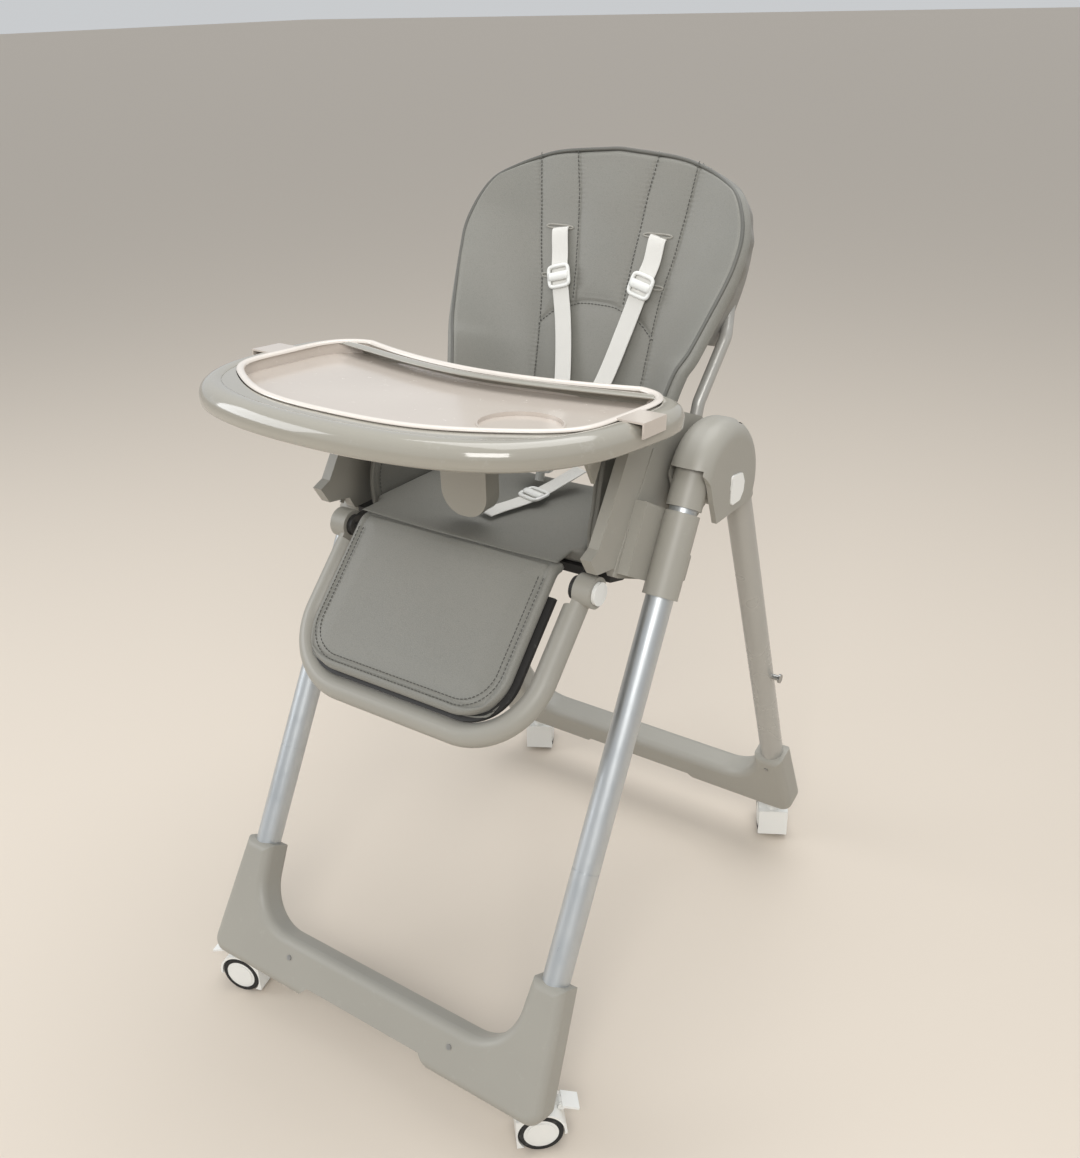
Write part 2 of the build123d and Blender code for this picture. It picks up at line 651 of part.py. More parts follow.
def back_section(up, half, wing):
    """Cross-section of the back pad: flat middle with wings that curve forward."""
    flat = half * 0.5
    thick = back_pad_thickness
    plane = Plane(origin=back_point(0, up, 0), x_dir=across, z_dir=back_up)
    bend = (flat + (half - flat) * 0.72, wing * 0.36)
    outer = half + 7
    back_bend = (flat + 8 + (outer - flat - 8) * 0.72, wing * 0.36 - thick * 0.8)
    right = [(flat, 0), (bend[0], -bend[1]), (half, -wing)]
    rear = [(outer, -wing + 8), (back_bend[0], -back_bend[1]), (flat + 8, thick)]
    edges = [Line((-flat, 0), (flat, 0)), ThreePointArc(*right)]
    edges += [Line(right[2], rear[0]), ThreePointArc(*rear)]
    edges.append(Line((flat + 8, thick), (-flat - 8, thick)))
    edges.append(ThreePointArc(*[(-x, y) for x, y in reversed(rear)]))
    edges.append(Line((-rear[0][0], rear[0][1]), (-half, -wing)))
    edges.append(ThreePointArc(*[(-x, y) for x, y in reversed(right)]))
    return plane * make_face(edges)


sections = [(back_pad_bottom, 0.76, 74), (150, 0.84, 86), (256, 0.94, 64), (342, 1.0, 33)]
sections.append((back_pad_height, 1.02, 6))
body = loft([back_section(up, share * (back_pad_half - 7), wing) for up, share, wing in sections])
outline_plane = Plane(origin=back_root, x_dir=across, z_dir=back_front)
crown = [(back_pad_half + 9, 240), (back_pad_half + 2, 330), (back_pad_half - 10, 366)]
crown += [(152, 405), (82, 425)]
crown_top = Spline(*crown, (0, back_pad_height), *[(-x, y) for x, y in reversed(crown)])
crown_sides = Polyline((-back_pad_half - 9, 240), (-back_pad_half - 9, 20), (back_pad_half + 9, 20),
                       (back_pad_half + 9, 240))
crown_face = make_face([crown_top, crown_sides])
body = body & extrude(outline_plane.offset(-80) * crown_face, 260)
nodes["back_pad"] = body

shell_back = -(back_pad_thickness + 4)
back_board = [(-118, 56), (118, 56), (128, 330), (90, 400), (-90, 400), (-128, 330)]
nodes["back_shell"] = plate(outline_plane, back_board, shell_back - shell_thickness, shell_back)
tube_x = 186.5
side_low = back_point(tube_x, back_pivot_up, back_pivot_forward)
points = [side_low, back_point(tube_x, 130, 30), back_point(tube_x + 8, 214, 2),
          back_point(tube_x - 20, 300, -44), back_point(100, 372, shell_back - shell_thickness - 9)]
mirrored = [Vector(-p.X, p.Y, p.Z) for p in reversed(points)]
tube_path = FilletPolyline(*points, *mirrored, radius=30)
tube_plane = Plane(origin=points[0], z_dir=points[1] - points[0])
frame_tube = sweep(tube_plane * Circle(back_tube_radius), path=tube_path)
for side in (1, -1):
    eye = rod(recline_pivot + across * 180 * side, recline_pivot + across * (panel_inner - 0.8) * side, 11)
    bore = rod(recline_pivot + across * 165 * side, recline_pivot + across * 215 * side, 5 + fit_gap)
    beyond = rod(recline_pivot + across * (panel_inner - 0.8) * side,
                 recline_pivot + across * 230 * side, 20)
    frame_tube = frame_tube + eye - beyond - bore
nodes["back_frame_tube"] = frame_tube

strap_parts = []
slider_parts = []
for side in (1, -1):
    route = [back_point(side * shoulder_slot_x, shoulder_slot_up, 2),
             back_point(side * 66, 262, 3.5),
             back_point(side * 46, 196, 7),
             back_point(side * 27, 128, 13)]
    strap_parts.append(ribbon(route, strap_width, strap_thickness))
    at = back_point(side * 66, 262, 8)
    run = (route[1] - route[0]).normalized()
    side_dir = across - run * across.dot(run)
    plane = Plane(origin=at, x_dir=side_dir, z_dir=back_front)
    slider = plane * (Box(34, 26, 4) - Pos(0, 6, 0) * Box(27, 5, 10) - Pos(0, -6, 0) * Box(27, 5, 10))
    slider_parts.append(slider)
nodes["shoulder_straps"] = Compound(children=strap_parts)
nodes["strap_adjusters"] = Compound(children=slider_parts)

handle_plane = Plane(origin=back_point(0, 330, shell_back - shell_thickness), x_dir=across, z_dir=back_front)
handle = handle_plane * Pos(0, 0, -7.5) * Box(86, 26, 12)
handle = fillet(handle.edges().filter_by(Axis((0, 0, 0), (0, back_front.Y, back_front.Z))), 8)
nodes["recline_handle"] = handle

# ---- tray ---------------------------------------------------------------------------------

def tray_outline(half, front, grow):
    """Tray outline: bowed front, round sides, shallow hollow at the back."""
    side = half + grow
    rear = [(0, -60 + grow), (112, -46 + grow), (half - 46, -18 + grow), (side - 12, -36 + grow)]
    flank = [(side, -130), (side - 10, -205)]
    flank += [(side * 0.78, -front + 56 - grow), (side * 0.45, -front + 13 - grow)]
    nose = (0, -front - grow)
    right = [rear[2], rear[3], *flank, nose]
    left = [(-x, y) for x, y in reversed(right)]
    rim = Spline(*right, *left[1:])
    hollow = Spline(left[-1], (-rear[1][0], rear[1][1]), rear[0], rear[1], right[0])
    return make_face([rim, hollow])


def on_tray(face_outline, low, high):
    return extrude(tray_plane.offset(low) * face_outline, high - low)


margin = 30.0
deck = on_tray(tray_outline(tray_half, tray_front, 0), -tray_depth, -tray_depth + 12)
upper = loft([tray_plane.offset(-tray_depth + 12) * tray_outline(tray_half, tray_front, 0),
              tray_plane.offset(-1.0) * tray_outline(tray_half, tray_front, -margin * 0.55)])
well_floor = -(insert_depth + insert_wall + cup_depth + 1)
well = on_tray(tray_outline(insert_half, insert_front, 3.2), well_floor, 10)
tray_base = deck + upper - well
under = on_tray(tray_outline(tray_half, tray_front, -tray_skin - 2), -tray_depth - 1, -tray_depth + 9)
under -= on_tray(tray_outline(insert_half, insert_front, 2.5 + tray_skin), -tray_depth - 2, 10)
tray_base -= under
tray_base -= on_tray(tray_outline(insert_half, insert_front, -3), -tray_depth - 1, well_floor - tray_skin)

socket_top = -tray_depth
for side in (1, -1):
    x_low, x_high = rail_inner - 4, rail_outer + 4
    v_low, v_high = rail_back - rail_length + 8, -24
    channel = rail_box(x_low, x_high, v_low, v_high, rail_top - rail_height - 4, well_floor - 1)
    channel -= rail_box(rail_inner - 0.6, rail_outer + 0.6, v_low - 5, v_high + 5,
                        rail_top - rail_height - 0.6, rail_top + 0.6)
    channel -= rail_box(panel_inner - 0.8, rail_outer + 9, v_low - 5, v_high + 5,
                        rail_top - rail_height - 6, rail_top - rail_height)
    gusset_points = [(v_low, socket_top), (v_low + 30, -62), (v_low + 50, -94)]
    gusset_points += [(v_low + 68, -60), (v_low + 76, socket_top)]
    gusset = extrude(Plane(origin=tray_point(0, 0, rail_inner - 9), x_dir=tray_back, z_dir=across)
                     * make_face(Polyline(*gusset_points, close=True)), 5)
    piece = channel + gusset
    tray_base += piece if side > 0 else other_side(piece)
nodes["tray_base"] = tray_base

post_half = post_width / 2
post_top = tray_height + 77 * tan(radians(tray_tilt)) - tray_depth + 1.2
post_low_half = post_half * 0.94
post_face = make_face(Polyline((-post_half, post_top), (post_half, post_top),
                               (post_low_half, post_bottom), (-post_low_half, post_bottom), close=True))
post_face = fillet([v for v in post_face.vertices() if v.Y < post_bottom + 1], 31)
post = extrude(Plane.XZ.offset(70) * post_face, 26)
post -= on_tray(tray_outline(tray_half, tray_front, 0), well_floor - tray_skin, 30)
nodes["crotch_post"] = post

release = rail_box(-34, 34, -tray_front + 96, -tray_front + 130, -tray_depth - 7, -tray_depth - 0.5)
release = fillet(release.edges().filter_by(Axis((0, 0, 0), (0, tray_up.Y, tray_up.Z))), 8)
nodes["tray_release"] = release

dish = on_tray(tray_outline(insert_half, insert_front, 0), -insert_depth - insert_wall, 1.5)
dish -= on_tray(tray_outline(insert_half, insert_front, -3.5), -insert_depth, 5)
cup = tray_plane * Pos(cup_x, cup_v, 0) * Pos(0, 0, -insert_depth - insert_wall - cup_depth)
cup_solid = cup * Cylinder(cup_radius + insert_wall, cup_depth + insert_wall + 1,
                           align=(Align.CENTER, Align.CENTER, Align.MIN))
cup_space = cup * Pos(0, 0, insert_wall) * Cylinder(cup_radius, 30,
                                                    align=(Align.CENTER, Align.CENTER, Align.MIN))
dish = dish + cup_solid - cup_space
for side in (1, -1):
    over = rail_box(insert_half - 2, tray_half + 5.0, -150, -104, 0.6, 2.6)
    down = rail_box(tray_half + 3.0, tray_half + 5.0, -150, -104, -14, 2.6)
    clip = over + down
    dish += clip if side > 0 else other_side(clip)
nodes["tray_insert"] = dish

# ---- place over the origin and write ------------------------------------------------------

boxes = [shape.bounding_box() for shape in nodes.values()]
middle_y = (min(b.min.Y for b in boxes) + max(b.max.Y for b in boxes)) / 2
floor_z = min(b.min.Z for b in boxes)
to_origin = Pos(0, -middle_y, -floor_z)

os.makedirs("parts", exist_ok=True)
for name, shape in nodes.items():
    export_step(to_origin * shape, "parts/" + name + ".step")

if __name__ == "__main__":
    shift = Vector(0, -middle_y, -floor_z)
    print("nodes", len(nodes), "shift", round(shift.Y, 3), round(shift.Z, 3))
    landmarks = {"hinge": hinge, "recline": recline_pivot, "legrest": legrest_pivot, "brake": caster["lug"]}
    for label, point in landmarks.items():
        spot = point + shift if label != "brake" else point
        print(label, round(spot.X, 3), round(spot.Y, 3), round(spot.Z, 3))
    print("front_up", front_up, "tray_back", tray_back, "tray_up", tray_up, "back_up", back_up)
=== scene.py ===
import math

import bmesh
import bpy
import numpy as np
from mathutils import Matrix, Vector


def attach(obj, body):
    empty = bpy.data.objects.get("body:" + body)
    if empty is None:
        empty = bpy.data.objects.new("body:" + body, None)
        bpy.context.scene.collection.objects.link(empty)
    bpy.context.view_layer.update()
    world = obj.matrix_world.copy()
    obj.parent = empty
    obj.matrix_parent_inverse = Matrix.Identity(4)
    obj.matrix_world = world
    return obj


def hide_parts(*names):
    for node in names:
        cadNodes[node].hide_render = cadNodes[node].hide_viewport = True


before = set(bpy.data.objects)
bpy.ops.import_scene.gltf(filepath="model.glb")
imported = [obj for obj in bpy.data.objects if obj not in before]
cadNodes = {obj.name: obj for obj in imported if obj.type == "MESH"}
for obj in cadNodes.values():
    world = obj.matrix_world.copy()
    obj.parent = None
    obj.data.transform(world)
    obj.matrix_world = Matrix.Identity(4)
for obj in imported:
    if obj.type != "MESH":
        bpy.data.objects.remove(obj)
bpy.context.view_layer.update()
across = np.array([1.0, 0.0, 0.0])


# ---------- helpers: curves, grids and meshes ----------

def vec(*numbers):
    return np.array(numbers, float)


def unit(v):
    # each vector divided by its own length
    return v / np.maximum(np.linalg.norm(v, axis=-1, keepdims=True), 1e-12)


def runLengths(points):
    # distance along the line at each of its points
    steps = np.linalg.norm(np.diff(points, axis=0), axis=1)
    return np.concatenate([[0], np.cumsum(steps)])


def evenPath(points, count):
    # the same broken line, with points spaced evenly along it
    q = np.asarray(points, float)
    s = runLengths(q)
    t = np.linspace(0, s[-1], count)
    return np.stack([np.interp(t, s, q[:, k]) for k in range(q.shape[1])], axis=1)


def smoothPath(points, count):
    # Catmull-Rom curve through the points, then spaced evenly by arc length
    p = np.asarray(points, float)
    ext = np.vstack([2 * p[0] - p[1], p, 2 * p[-1] - p[-2]])
    u = np.linspace(0, len(p) - 1 - 1e-9, 60 * len(p))
    i = u.astype(int)
    f = (u - i)[:, None]
    a, b, c, d = ext[i], ext[i + 1], ext[i + 2], ext[i + 3]
    q = 0.5 * (2 * b + (c - a) * f + (2 * a - 5 * b + 4 * c - d) * f ** 2
               + (3 * b - a - 3 * c + d) * f ** 3)
    return evenPath(q, count)


def pathLength(points):
    return float(np.linalg.norm(np.diff(points, axis=0), axis=1).sum())


def smoothStep(x):
    x = np.clip(x, 0, 1)
    return x * x * (3 - 2 * x)


def gridFaces(rows, cols, closeCols=False, flip=False, start=0):
    # quads between neighbouring rows and columns of a grid numbered row by row
    r = np.arange(rows - 1)[:, None]
    c = np.arange(cols if closeCols else cols - 1)[None, :]
    n = (c + 1) % cols
    quads = np.stack([r * cols + c, r * cols + n, (r + 1) * cols + n, (r + 1) * cols + c], -1)
    quads = quads.reshape(-1, 4) + start
    return quads[:, ::-1] if flip else quads


def buildMesh(name, grids, material, weld=1e-6):
    # grids: (points rows x cols x 3, close the columns, flip, uv rows x cols x 2 or None)
    verts, quads, uvs, start = [], [], [], 0
    for points, closeCols, flip, uv in grids:
        rows, cols = points.shape[:2]
        verts.append(points.reshape(-1, 3))
        quads.append(gridFaces(rows, cols, closeCols, flip, start))
        uvs.append((np.zeros((rows, cols, 2)) if uv is None else uv).reshape(-1, 2))
        start += rows * cols
    return meshFrom(name, np.vstack(verts), np.vstack(quads), np.vstack(uvs), material, weld)


def meshFrom(name, verts, quads, uvs, material, weld=1e-6):
    # vertex, corner and polygon arrays go straight into the mesh, then doubles are merged
    mesh = bpy.data.meshes.new(name)
    mesh.vertices.add(len(verts))
    mesh.vertices.foreach_set("co", verts.astype(np.float32).ravel())
    mesh.loops.add(quads.size)
    mesh.loops.foreach_set("vertex_index", quads.astype(np.int32).ravel())
    mesh.polygons.add(len(quads))
    mesh.polygons.foreach_set("loop_start", np.arange(0, quads.size, 4, dtype=np.int32))
    mesh.update(calc_edges=True)
    if uvs is not None:
        layer = mesh.uv_layers.new(name="UVMap")
        layer.data.foreach_set("uv", uvs[quads.ravel()].astype(np.float32).ravel())
    if weld:
        work = bmesh.new()
        work.from_mesh(mesh)
        bmesh.ops.remove_doubles(work, verts=work.verts, dist=weld)
        bmesh.ops.dissolve_degenerate(work, edges=work.edges, dist=1e-7)
        work.to_mesh(mesh)
        work.free()
    mesh.polygons.foreach_set("use_smooth", np.ones(len(mesh.polygons), dtype=bool))
    mesh.validate()
    mesh.materials.append(material)
    piece = bpy.data.objects.new(name, mesh)
    bpy.context.scene.collection.objects.link(piece)
    return piece


def sweepGrid(path, sideways, upward, profile, caps=True):
    # profile (k x 2) carried along the path: point = path + a * sideways + b * upward;
    # a row shrunk onto the path closes each end
    points = (path[:, None] + profile[None, :, :1] * sideways[:, None]
              + profile[None, :, 1:] * upward[:, None])
    uv = np.stack(np.broadcast_arrays(runLengths(profile)[None, :], runLengths(path)[:, None]), -1)
    if caps:
        first = np.broadcast_to(path[:1, None], (1, len(profile), 3))
        last = np.broadcast_to(path[-1:, None], (1, len(profile), 3))
        points = np.concatenate([first, points, last])
        uv = np.concatenate([uv[:1], uv, uv[-1:]])
    return points, uv


def pathFrames(path, hint):
    # sideways and upward unit vectors square to the path, upward nearest the hint
    tangent = unit(np.gradient(path, axis=0))
    hint = np.broadcast_to(hint, path.shape)
    sideways = unit(np.cross(tangent, hint))
    return sideways, np.cross(sideways, tangent)


def ringProfile(radius, sides=12):
    a = np.arange(sides) * 2 * math.pi / sides
    return radius * np.stack([np.cos(a), np.sin(a)], 1)


def tapeProfile(width, thickness, edge=10):
    # flat oval: straight faces with rounded edges
    a = np.linspace(-math.pi / 2, math.pi / 2, edge)
    right = np.stack([width / 2 - thickness / 2 + thickness / 2 * np.cos(a), thickness / 2 * np.sin(a)], 1)
    acrossTop = np.linspace(width / 2 - thickness, -width / 2 + thickness, 9)
    top = np.stack([acrossTop, np.full(9, thickness / 2)], 1)
    return np.vstack([right, top, -right, -top])


def tubeAlong(name, path, hint, radius, material, sides=12):
    sideways, upward = pathFrames(path, hint)
    points, uv = sweepGrid(path, sideways, upward, ringProfile(radius, sides))
    return buildMesh(name, [(points, True, True, uv)], material)


def stitchRow(name, rows, material, pitch=0.0052, length=0.0041, width=0.0013, rise=0.0006):
    # each stitch is a small spindle: centre + along * u + side * cos + normal * sin
    centres, alongs, normals = [], [], []
    for path, normal in rows:
        count = max(int(pathLength(path) / pitch), 2)
        at = np.linspace(0, len(path) - 1, count)
        low = np.clip(at.astype(int), 0, len(path) - 2)
        part = (at - low)[:, None]
        centres.append(path[low] * (1 - part) + path[low + 1] * part)
        alongs.append(unit(path[low + 1] - path[low]))
        normals.append(unit(normal[low] * (1 - part) + normal[low + 1] * part))
    c, d, n = np.vstack(centres), np.vstack(alongs), np.vstack(normals)
    side = unit(np.cross(d, n))
    sides = 6
    ring = np.arange(sides) * math.pi / 3
    u = vec(-0.5, -0.4, 0, 0.4, 0.5)
    fat = vec(0.02, 0.8, 1.0, 0.8, 0.02)
    lift = (1 - (2 * u) ** 2) * rise
    points = (c[:, None, None] + d[:, None, None] * (u * length)[None, :, None, None]
              + n[:, None, None] * lift[None, :, None, None]
              + side[:, None, None] * (fat[:, None] * np.cos(ring) * width / 2)[None, :, :, None]
              + n[:, None, None] * (fat[:, None] * np.sin(ring) * width / 2)[None, :, :, None])
    block = gridFaces(len(u), sides, True)
    quads = (block[None] + (np.arange(len(c)) * len(u) * sides)[:, None, None]).reshape(-1, 4)
    return meshFrom(name, points.reshape(-1, 3), quads, None, material, 0)


def coonsPatch(bottom, top, left, right):
    # blends four boundary curves; rows run bottom to top, columns left to right
    s = np.linspace(0, 1, len(bottom))[None, :, None]
    t = np.linspace(0, 1, len(left))[:, None, None]
    ruledUp = (1 - t) * bottom[None] + t * top[None]
    ruledAcross = (1 - s) * left[:, None] + s * right[:, None]
    corners = ((1 - s) * (1 - t) * bottom[0] + s * (1 - t) * bottom[-1]
               + (1 - s) * t * top[0] + s * t * top[-1])
    return ruledUp + ruledAcross - corners


def gridNormals(points):
    # cross product of the grid's own row and column directions
    return unit(np.cross(np.gradient(points, axis=1), np.gradient(points, axis=0)))


def edgeDistance(points):
    # rough distance of each grid point to the nearest boundary, along its row and column
    acrossStep = np.linalg.norm(np.diff(points, axis=1), axis=2)
    upStep = np.linalg.norm(np.diff(points, axis=0), axis=2)
    fromLeft = np.pad(np.cumsum(acrossStep, 1), ((0, 0), (1, 0)))
    fromLow = np.pad(np.cumsum(upStep, 0), ((1, 0), (0, 0)))
    return np.minimum(np.minimum(fromLeft, fromLeft[:, -1:] - fromLeft),
                      np.minimum(fromLow, fromLow[-1:] - fromLow))


def padGrids(surface, normal, thickness, rounding):
    # closed pad: the front drops to mid-thickness at its rim, and the back rises to meet it
    d = np.clip(edgeDistance(surface) / rounding, 0, 1)
    roundOff = 1 - np.sqrt(1 - (1 - d) ** 2)
    front = surface - normal * (roundOff * thickness / 2)[..., None]
    back = surface - normal * (thickness - roundOff * thickness / 2)[..., None]
    return front, back


def padMesh(name, skin, normal, thickness, rounding, material, uv=None, turned=False):
    front, back = padGrids(skin, normal, thickness, rounding)
    return buildMesh(name, [(front, False, turned, uv), (back, False, not turned, uv)], material)


def softRipple(a, b, scale, seed):
    # sum of a few slow sine waves with fixed random directions and phases
    local = np.random.default_rng(seed)
    total = np.zeros(np.broadcast(a, b).shape)
    for k in range(7):
        angle = local.uniform(0, math.pi)
        wave = scale * local.uniform(0.6, 2.4)
        total += np.sin((a * math.cos(angle) + b * math.sin(angle)) * wave + local.uniform(0, 6.3)) / 7
    return total


def curveSheet(name, points, material, thickness):
    # single sheet given a wall by Solidify
    piece = buildMesh(name, [(points, False, False, None)], material)
    wall = piece.modifiers.new("wall", "SOLIDIFY")
    wall.thickness = thickness
    wall.offset = -1
    return piece


# ---------- shader node groups ----------

def srgb(r, g, b):
    def toLinear(v):
        v = v / 255
        return v / 12.92 if v <= 0.04045 else ((v + 0.055) / 1.055) ** 2.4
    return (toLinear(r), toLinear(g), toLinear(b), 1.0)


def newGroup(name, inputs, outputs):
    group = bpy.data.node_groups.new(name, "ShaderNodeTree")
    for label, kind, value in inputs:
        socket = group.interface.new_socket(name=label, in_out="INPUT", socket_type="NodeSocket" + kind)
        if value is not None:
            socket.default_value = value
    for label, kind in outputs:
        group.interface.new_socket(name=label, in_out="OUTPUT", socket_type="NodeSocket" + kind)
    return group, group.nodes.new("NodeGroupInput"), group.nodes.new("NodeGroupOutput")


def addNode(tree, kind, settings=None, **values):
    node = tree.nodes.new(kind)
    for key, value in (settings or {}).items():
        setattr(node, key, value)
    for key, value in values.items():
        node.inputs[key.replace("_", " ")].default_value = value
    return node


def mathNode(tree, operation, a, b=None):
    node = addNode(tree, "ShaderNodeMath", {"operation": operation})
    for index, item in enumerate((a, b)):
        if item is None:
            continue
        if isinstance(item, (int, float)):
            node.inputs[index].default_value = item
        else:
            tree.links.new(item, node.inputs[index])
    return node.outputs[0]


def times(tree, a, b):
    return mathNode(tree, "MULTIPLY", a, b)


def plus(tree, a, b):
    return mathNode(tree, "ADD", a, b)


def mixColour(tree, factor, a, b):
    node = addNode(tree, "ShaderNodeMix", {"data_type": "RGBA"})
    for index, item in ((0, factor), (6, a), (7, b)):
        if isinstance(item, (int, float, tuple)):
            node.inputs[index].default_value = item
        else:
            tree.links.new(item, node.inputs[index])
    return node.outputs[2]


def noiseNode(tree, vector, scale, detail=3.0, roughness=0.5):
    node = addNode(tree, "ShaderNodeTexNoise", Detail=detail, Roughness=roughness)
    tree.links.new(vector, node.inputs["Vector"])
    if isinstance(scale, (int, float)):
        node.inputs["Scale"].default_value = scale
    else:
        tree.links.new(scale, node.inputs["Scale"])
    return node.outputs["Fac"]


def remap(tree, value, low, high, outLow, outHigh):
    node = addNode(tree, "ShaderNodeMapRange")
    node.inputs["From Min"].default_value = low
    node.inputs["From Max"].default_value = high
    node.inputs["To Min"].default_value = outLow
    node.inputs["To Max"].default_value = outHigh
    tree.links.new(value, node.inputs["Value"])
    return node.outputs[0]


def makeMouldedGroup():
    # moulded plastic: fine spark grain, slow flow colour, soft scuffs and settled dust
    group, come, go = newGroup("mouldedSurface",
                               [("Vector", "Vector", None), ("Colour", "Color", (0.3, 0.3, 0.3, 1)),
                                ("Grain Scale", "Float", 900.0), ("Grain Depth", "Float", 0.5),
                                ("Roughness", "Float", 0.4), ("Scuffs", "Float", 0.3)],
                               [("Colour", "Color"), ("Roughness", "Float"), ("Height", "Float")])
    v, base = come.outputs["Vector"], come.outputs["Colour"]
    grain = noiseNode(group, v, come.outputs["Grain Scale"], 2.0, 0.6)
    flow = noiseNode(group, v, 6.0, 2.0)
    scuff = noiseNode(group, v, 55.0, 6.0, 0.72)
    mask = remap(group, scuff, 0.6, 0.72, 0.0, 1.0)
    mask = times(group, mask, come.outputs["Scuffs"])
    lighter = mixColour(group, 0.5, base, (0.75, 0.73, 0.70, 1))
    flowed = mixColour(group, remap(group, flow, 0.3, 0.7, 0.0, 0.22), base,
                       mixColour(group, 0.4, base, (0.12, 0.115, 0.11, 1)))
    colour = mixColour(group, times(group, mask, 0.35), flowed, lighter)
    group.links.new(colour, go.inputs["Colour"])
    rough = plus(group, come.outputs["Roughness"], times(group, mask, 0.18))
    rough = plus(group, rough, remap(group, flow, 0.3, 0.7, -0.03, 0.03))
    group.links.new(rough, go.inputs["Roughness"])
    height = times(group, grain, come.outputs["Grain Depth"])
    height = plus(group, height, times(group, mask, -0.2))
    group.links.new(height, go.inputs["Height"])
    return group


def makeLeatherGroup():
    # pebbled leatherette: cell borders as creases darkened with painted shade, fine pores, slow tone drift
    # and dry highlights
    group, come, go = newGroup("leatherGrain",
                               [("Vector", "Vector", None), ("Colour", "Color", (0.2, 0.2, 0.2, 1)),
                                ("Pebble Scale", "Float", 520.0), ("Crease Depth", "Float", 0.6),
                                ("Roughness", "Float", 0.5)],
                               [("Colour", "Color"), ("Roughness", "Float"), ("Height", "Float")])
    v, base = come.outputs["Vector"], come.outputs["Colour"]
    warp = addNode(group, "ShaderNodeTexNoise", Scale=260.0, Detail=2.0)
    group.links.new(v, warp.inputs["Vector"])
    push = addNode(group, "ShaderNodeVectorMath", {"operation": "MULTIPLY_ADD"})
    group.links.new(warp.outputs["Color"], push.inputs[0])
    push.inputs[1].default_value = (0.0022, 0.0022, 0.0022)
    group.links.new(v, push.inputs[2])
    cells = addNode(group, "ShaderNodeTexVoronoi", {"feature": "DISTANCE_TO_EDGE"})
    group.links.new(push.outputs[0], cells.inputs["Vector"])
    group.links.new(come.outputs["Pebble Scale"], cells.inputs["Scale"])
    dome = remap(group, cells.outputs["Distance"], 0.0, 0.28, 0.0, 1.0)
    pores = noiseNode(group, v, 1500.0, 2.0)
    slow = noiseNode(group, v, 9.0, 4.0, 0.55)
    height = times(group, dome, come.outputs["Crease Depth"])
    height = plus(group, height, times(group, pores, 0.18))
    group.links.new(height, go.inputs["Height"])
    # painted shade: the colour is darkest at the bottom of each crease and fades out towards the pebble tops
    paintedCreaseShade = mixColour(group, 0.5, base, (0.05, 0.048, 0.045, 1))
    inCrease = remap(group, dome, 0.0, 0.5, 0.35, 0.0)
    colour = mixColour(group, inCrease, base, paintedCreaseShade)
    warm = mixColour(group, remap(group, slow, 0.35, 0.7, 0.0, 0.25), colour,
                     mixColour(group, 0.5, colour, (0.30, 0.27, 0.235, 1)))
    group.links.new(warm, go.inputs["Colour"])
    rough = plus(group, come.outputs["Roughness"], remap(group, slow, 0.3, 0.7, -0.06, 0.06))
    rough = plus(group, rough, times(group, inCrease, 0.3))
    group.links.new(rough, go.inputs["Roughness"])
    return group


def makeWeaveGroup():
    # webbing: crossing warp and weft ribs from the strap's own UV, with fuzz and painted shade in the low
    # spots between ribs
    group, come, go = newGroup("webbingWeave",
                               [("Vector", "Vector", None), ("Colour", "Color", (0.7, 0.7, 0.68, 1)),
                                ("Ribs Per Metre", "Float", 900.0)],
                               [("Colour", "Color"), ("Roughness", "Float"), ("Height", "Float")])
    v, base = come.outputs["Vector"], come.outputs["Colour"]
    split = addNode(group, "ShaderNodeSeparateXYZ")
    group.links.new(v, split.inputs[0])
    turn = times(group, come.outputs["Ribs Per Metre"], 2 * math.pi)
    a = mathNode(group, "SINE", times(group, split.outputs[0], turn))
    b = mathNode(group, "SINE", times(group, split.outputs[1], turn))
    crossRib = times(group, a, b)
    warp = mathNode(group, "ABSOLUTE", a)
    fuzz = noiseNode(group, v, 2600.0, 2.0)
    ribs = times(group, crossRib, 0.5)
    height = plus(group, ribs, times(group, warp, 0.4))
    height = plus(group, height, times(group, fuzz, 0.3))
    group.links.new(height, go.inputs["Height"])
    # painted shade: the colour darkens where the weave's height is low
    paintedWeaveShade = remap(group, height, -0.3, 0.9, 0.3, 0.0)
    colour = mixColour(group, paintedWeaveShade, base,
                       mixColour(group, 0.6, base, (0.25, 0.24, 0.22, 1)))
    group.links.new(colour, go.inputs["Colour"])
    group.links.new(remap(group, fuzz, 0.3, 0.7, 0.78, 0.92), go.inputs["Roughness"])
    return group


def makeMetalGroup():
    # drawn tube: long fine lines, dull patches and fingerprints
    group, come, go = newGroup("drawnMetal",
                               [("Vector", "Vector", None), ("Colour", "Color", (0.6, 0.6, 0.62, 1)),
                                ("Roughness", "Float", 0.3), ("Line Depth", "Float", 0.3)],
                               [("Colour", "Color"), ("Roughness", "Float"), ("Height", "Float")])
    v, base = come.outputs["Vector"], come.outputs["Colour"]
    stretch = addNode(group, "ShaderNodeMapping")
    stretch.inputs["Scale"].default_value = (1.0, 0.05, 0.03)
    group.links.new(v, stretch.inputs["Vector"])
    lines = noiseNode(group, stretch.outputs[0], 1400.0, 3.0, 0.6)
    patches = noiseNode(group, v, 24.0, 5.0, 0.6)
    colour = mixColour(group, remap(group, patches, 0.4, 0.75, 0.0, 0.35), base,
                       mixColour(group, 0.5, base, (0.35, 0.35, 0.35, 1)))
    group.links.new(colour, go.inputs["Colour"])
    rough = plus(group, come.outputs["Roughness"], remap(group, patches, 0.35, 0.7, -0.04, 0.12))
    rough = plus(group, rough, remap(group, lines, 0.3, 0.7, -0.03, 0.05))
    group.links.new(rough, go.inputs["Roughness"])
    group.links.new(times(group, lines, come.outputs["Line Depth"]), go.inputs["Height"])
    return group


mouldedGroup = makeMouldedGroup()
leatherGroup = makeLeatherGroup()
weaveGroup = makeWeaveGroup()
metalGroup = makeMetalGroup()


